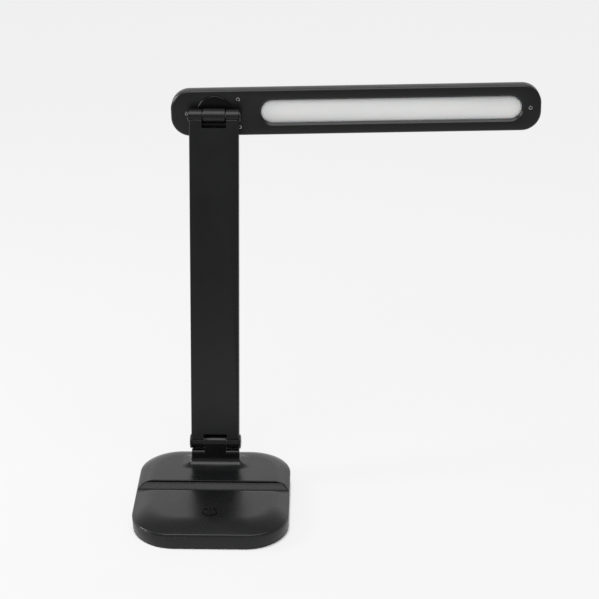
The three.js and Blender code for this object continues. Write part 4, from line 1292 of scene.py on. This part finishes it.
def make_yoke():
    edge = DISC_BEVEL
    disc = spun([(0, -HUB_LENGTH), (HUB_RADIUS, -HUB_LENGTH), (HUB_RADIUS, -DISC_THICK),
                 (DISC_RADIUS, -DISC_THICK), (DISC_RADIUS, DISC_PROUD - edge - 0.1),
                 (DISC_RADIUS - 0.03, DISC_PROUD - edge), (DISC_RADIUS - edge, DISC_PROUD - 0.03),
                 (DISC_RADIUS - edge - 0.1, DISC_PROUD), (0, DISC_PROUD)])
    piece = new_piece("yoke", disc, disc_black, "yoke", DISC_PLACE, ["head_yoke"])
    end = rounded_end(BARREL, BARREL_EDGE, TAB_HALF)
    barrel = spun([(0, -TAB_HALF), *[(r, -z) for r, z in reversed(end)], *end, (0, TAB_HALF)], 64)
    across = Matrix.Translation((0, AXIS_ABOVE, AXIS_FORWARD)) @ Matrix.Rotation(math.pi / 2, 4, "Y")
    web = bmesh.new()
    bmesh.ops.create_cube(web, size=1.0)
    top, bottom = AXIS_ABOVE + WEB_TOP, AXIS_ABOVE + WEB_BOTTOM
    front, back = AXIS_FORWARD, -DISC_THICK / 2
    bmesh.ops.scale(web, vec=(2 * TAB_HALF, top - bottom, front - back), verts=web.verts)
    bmesh.ops.translate(web, vec=(0, (top + bottom) / 2, (front + back) / 2), verts=web.verts)
    bmesh.ops.bevel(web, geom=web.edges[:], offset=WEB_EDGE, segments=3, profile=0.5,
                    affect="EDGES", material=-1)
    joined = [solid("barrel", barrel, DISC_PLACE @ across), solid("web", web, DISC_PLACE)]
    piece.data.materials.append(satin_black)
    for part in joined:
        part.data.polygons.foreach_set("material_index", [1] * len(part.data.polygons))
    return boolean(piece, joined, "UNION")


yoke = make_yoke()
print("yoke faces with barrel and block:", len(yoke.data.polygons))

# %% [markdown]
# ## Hinge caps
# Each end of a hinge is closed by a domed cap, glossier than the rest. A short profile is spun
# for it: plug, flat seat, and then a quarter of an ellipse from the edge to the middle.

# %% Hinge caps
CAP_PLUG = 1.0
CAP_SEAT = 0.45
LOWER_CAP, LOWER_CAP_PROUD = 6.7, 2.0
UPPER_CAP, UPPER_CAP_PROUD = 5.2, 2.6


def make_cap(name, node, radius, proud, side):
    low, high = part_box(node)
    middle = (low + high) / 2 / MM
    foot = FIT + CAP_SEAT
    profile = [(0, -CAP_PLUG), (radius / 2, -CAP_PLUG), (radius / 2, FIT), (radius - 0.15, FIT),
               (radius, FIT + 0.15)]
    profile += [(radius * math.cos(a), foot + (proud - foot) * math.sin(a))
                for a in even_steps(9, 0, math.pi / 2)][:-1]
    profile.append((0, proud))
    turn = Matrix.Rotation(side * math.pi / 2, 4, "Y")
    place = Matrix.Translation((side * ARM_HALF, middle.y, middle.z)) @ turn
    new_piece(name, spun(profile, 64), trim_black, "arm", place, [node])


for word, side in (("left", -1), ("right", 1)):
    make_cap(f"lower_end_cap_{word}", f"lower_cap_{word}", LOWER_CAP, LOWER_CAP_PROUD, side)
    make_cap(f"upper_end_cap_{word}", f"upper_cap_{word}", UPPER_CAP, UPPER_CAP_PROUD, side)

# %% [markdown]
# ## Screws
# A screw in the face is a small domed button with a six-sided socket. The head is spun, and the
# socket is cut with a six-sided bar, so its walls are crisp. A thin black disc in the bottom of
# the socket is painted shade, for the dark that a real socket has only from shade.

# %% Face screws
SCREW_LENGTH = 7.4
SCREW_SUNK = 0.12
SOCKET_DEPTH = 0.85
SOCKET_SHARE, SHADE_DISC_SHARE = 0.58, 0.5
SHADE_DISC_THICK = 0.15


def make_screw(name, node, place, body, head, length):
    profile = [(0, -length), (head * 0.35, -length), (head * 0.5, -length + 0.6), (head * 0.5, -1.1),
               (head - 0.15, -1.1), (head, -0.95), (head, -0.45), (head * 0.93, -0.22),
               (head * 0.8, -0.06), (head * 0.66, 0.0), (0, 0.0)]
    screw = new_piece(name, spun(profile, 40), screw_steel, body, place, [node])
    socket = solid("socket", rod(head * SOCKET_SHARE, -SOCKET_DEPTH, 1.0, 6), place)
    boolean(screw, [socket], smooth=25)
    # painted shade: a thin black disc at the bottom of the socket
    floor = rod(head * SHADE_DISC_SHARE, -SOCKET_DEPTH, -SOCKET_DEPTH + SHADE_DISC_THICK, 24)
    new_piece(name + "_socket", floor, trim_black, body, place)


for k, (x, y) in enumerate(FACE_SCREWS):
    make_screw(f"face_screw_{k + 1}", f"head_screw_{k + 1}",
               HEAD_PLACE @ Matrix.Translation((x, y, -SCREW_SUNK)), "head", SCREW_HEAD,
               SCREW_LENGTH)

# %% [markdown]
# ## End
# The view layer is updated once more, last of all.

# %% Finish
bpy.context.view_layer.update()
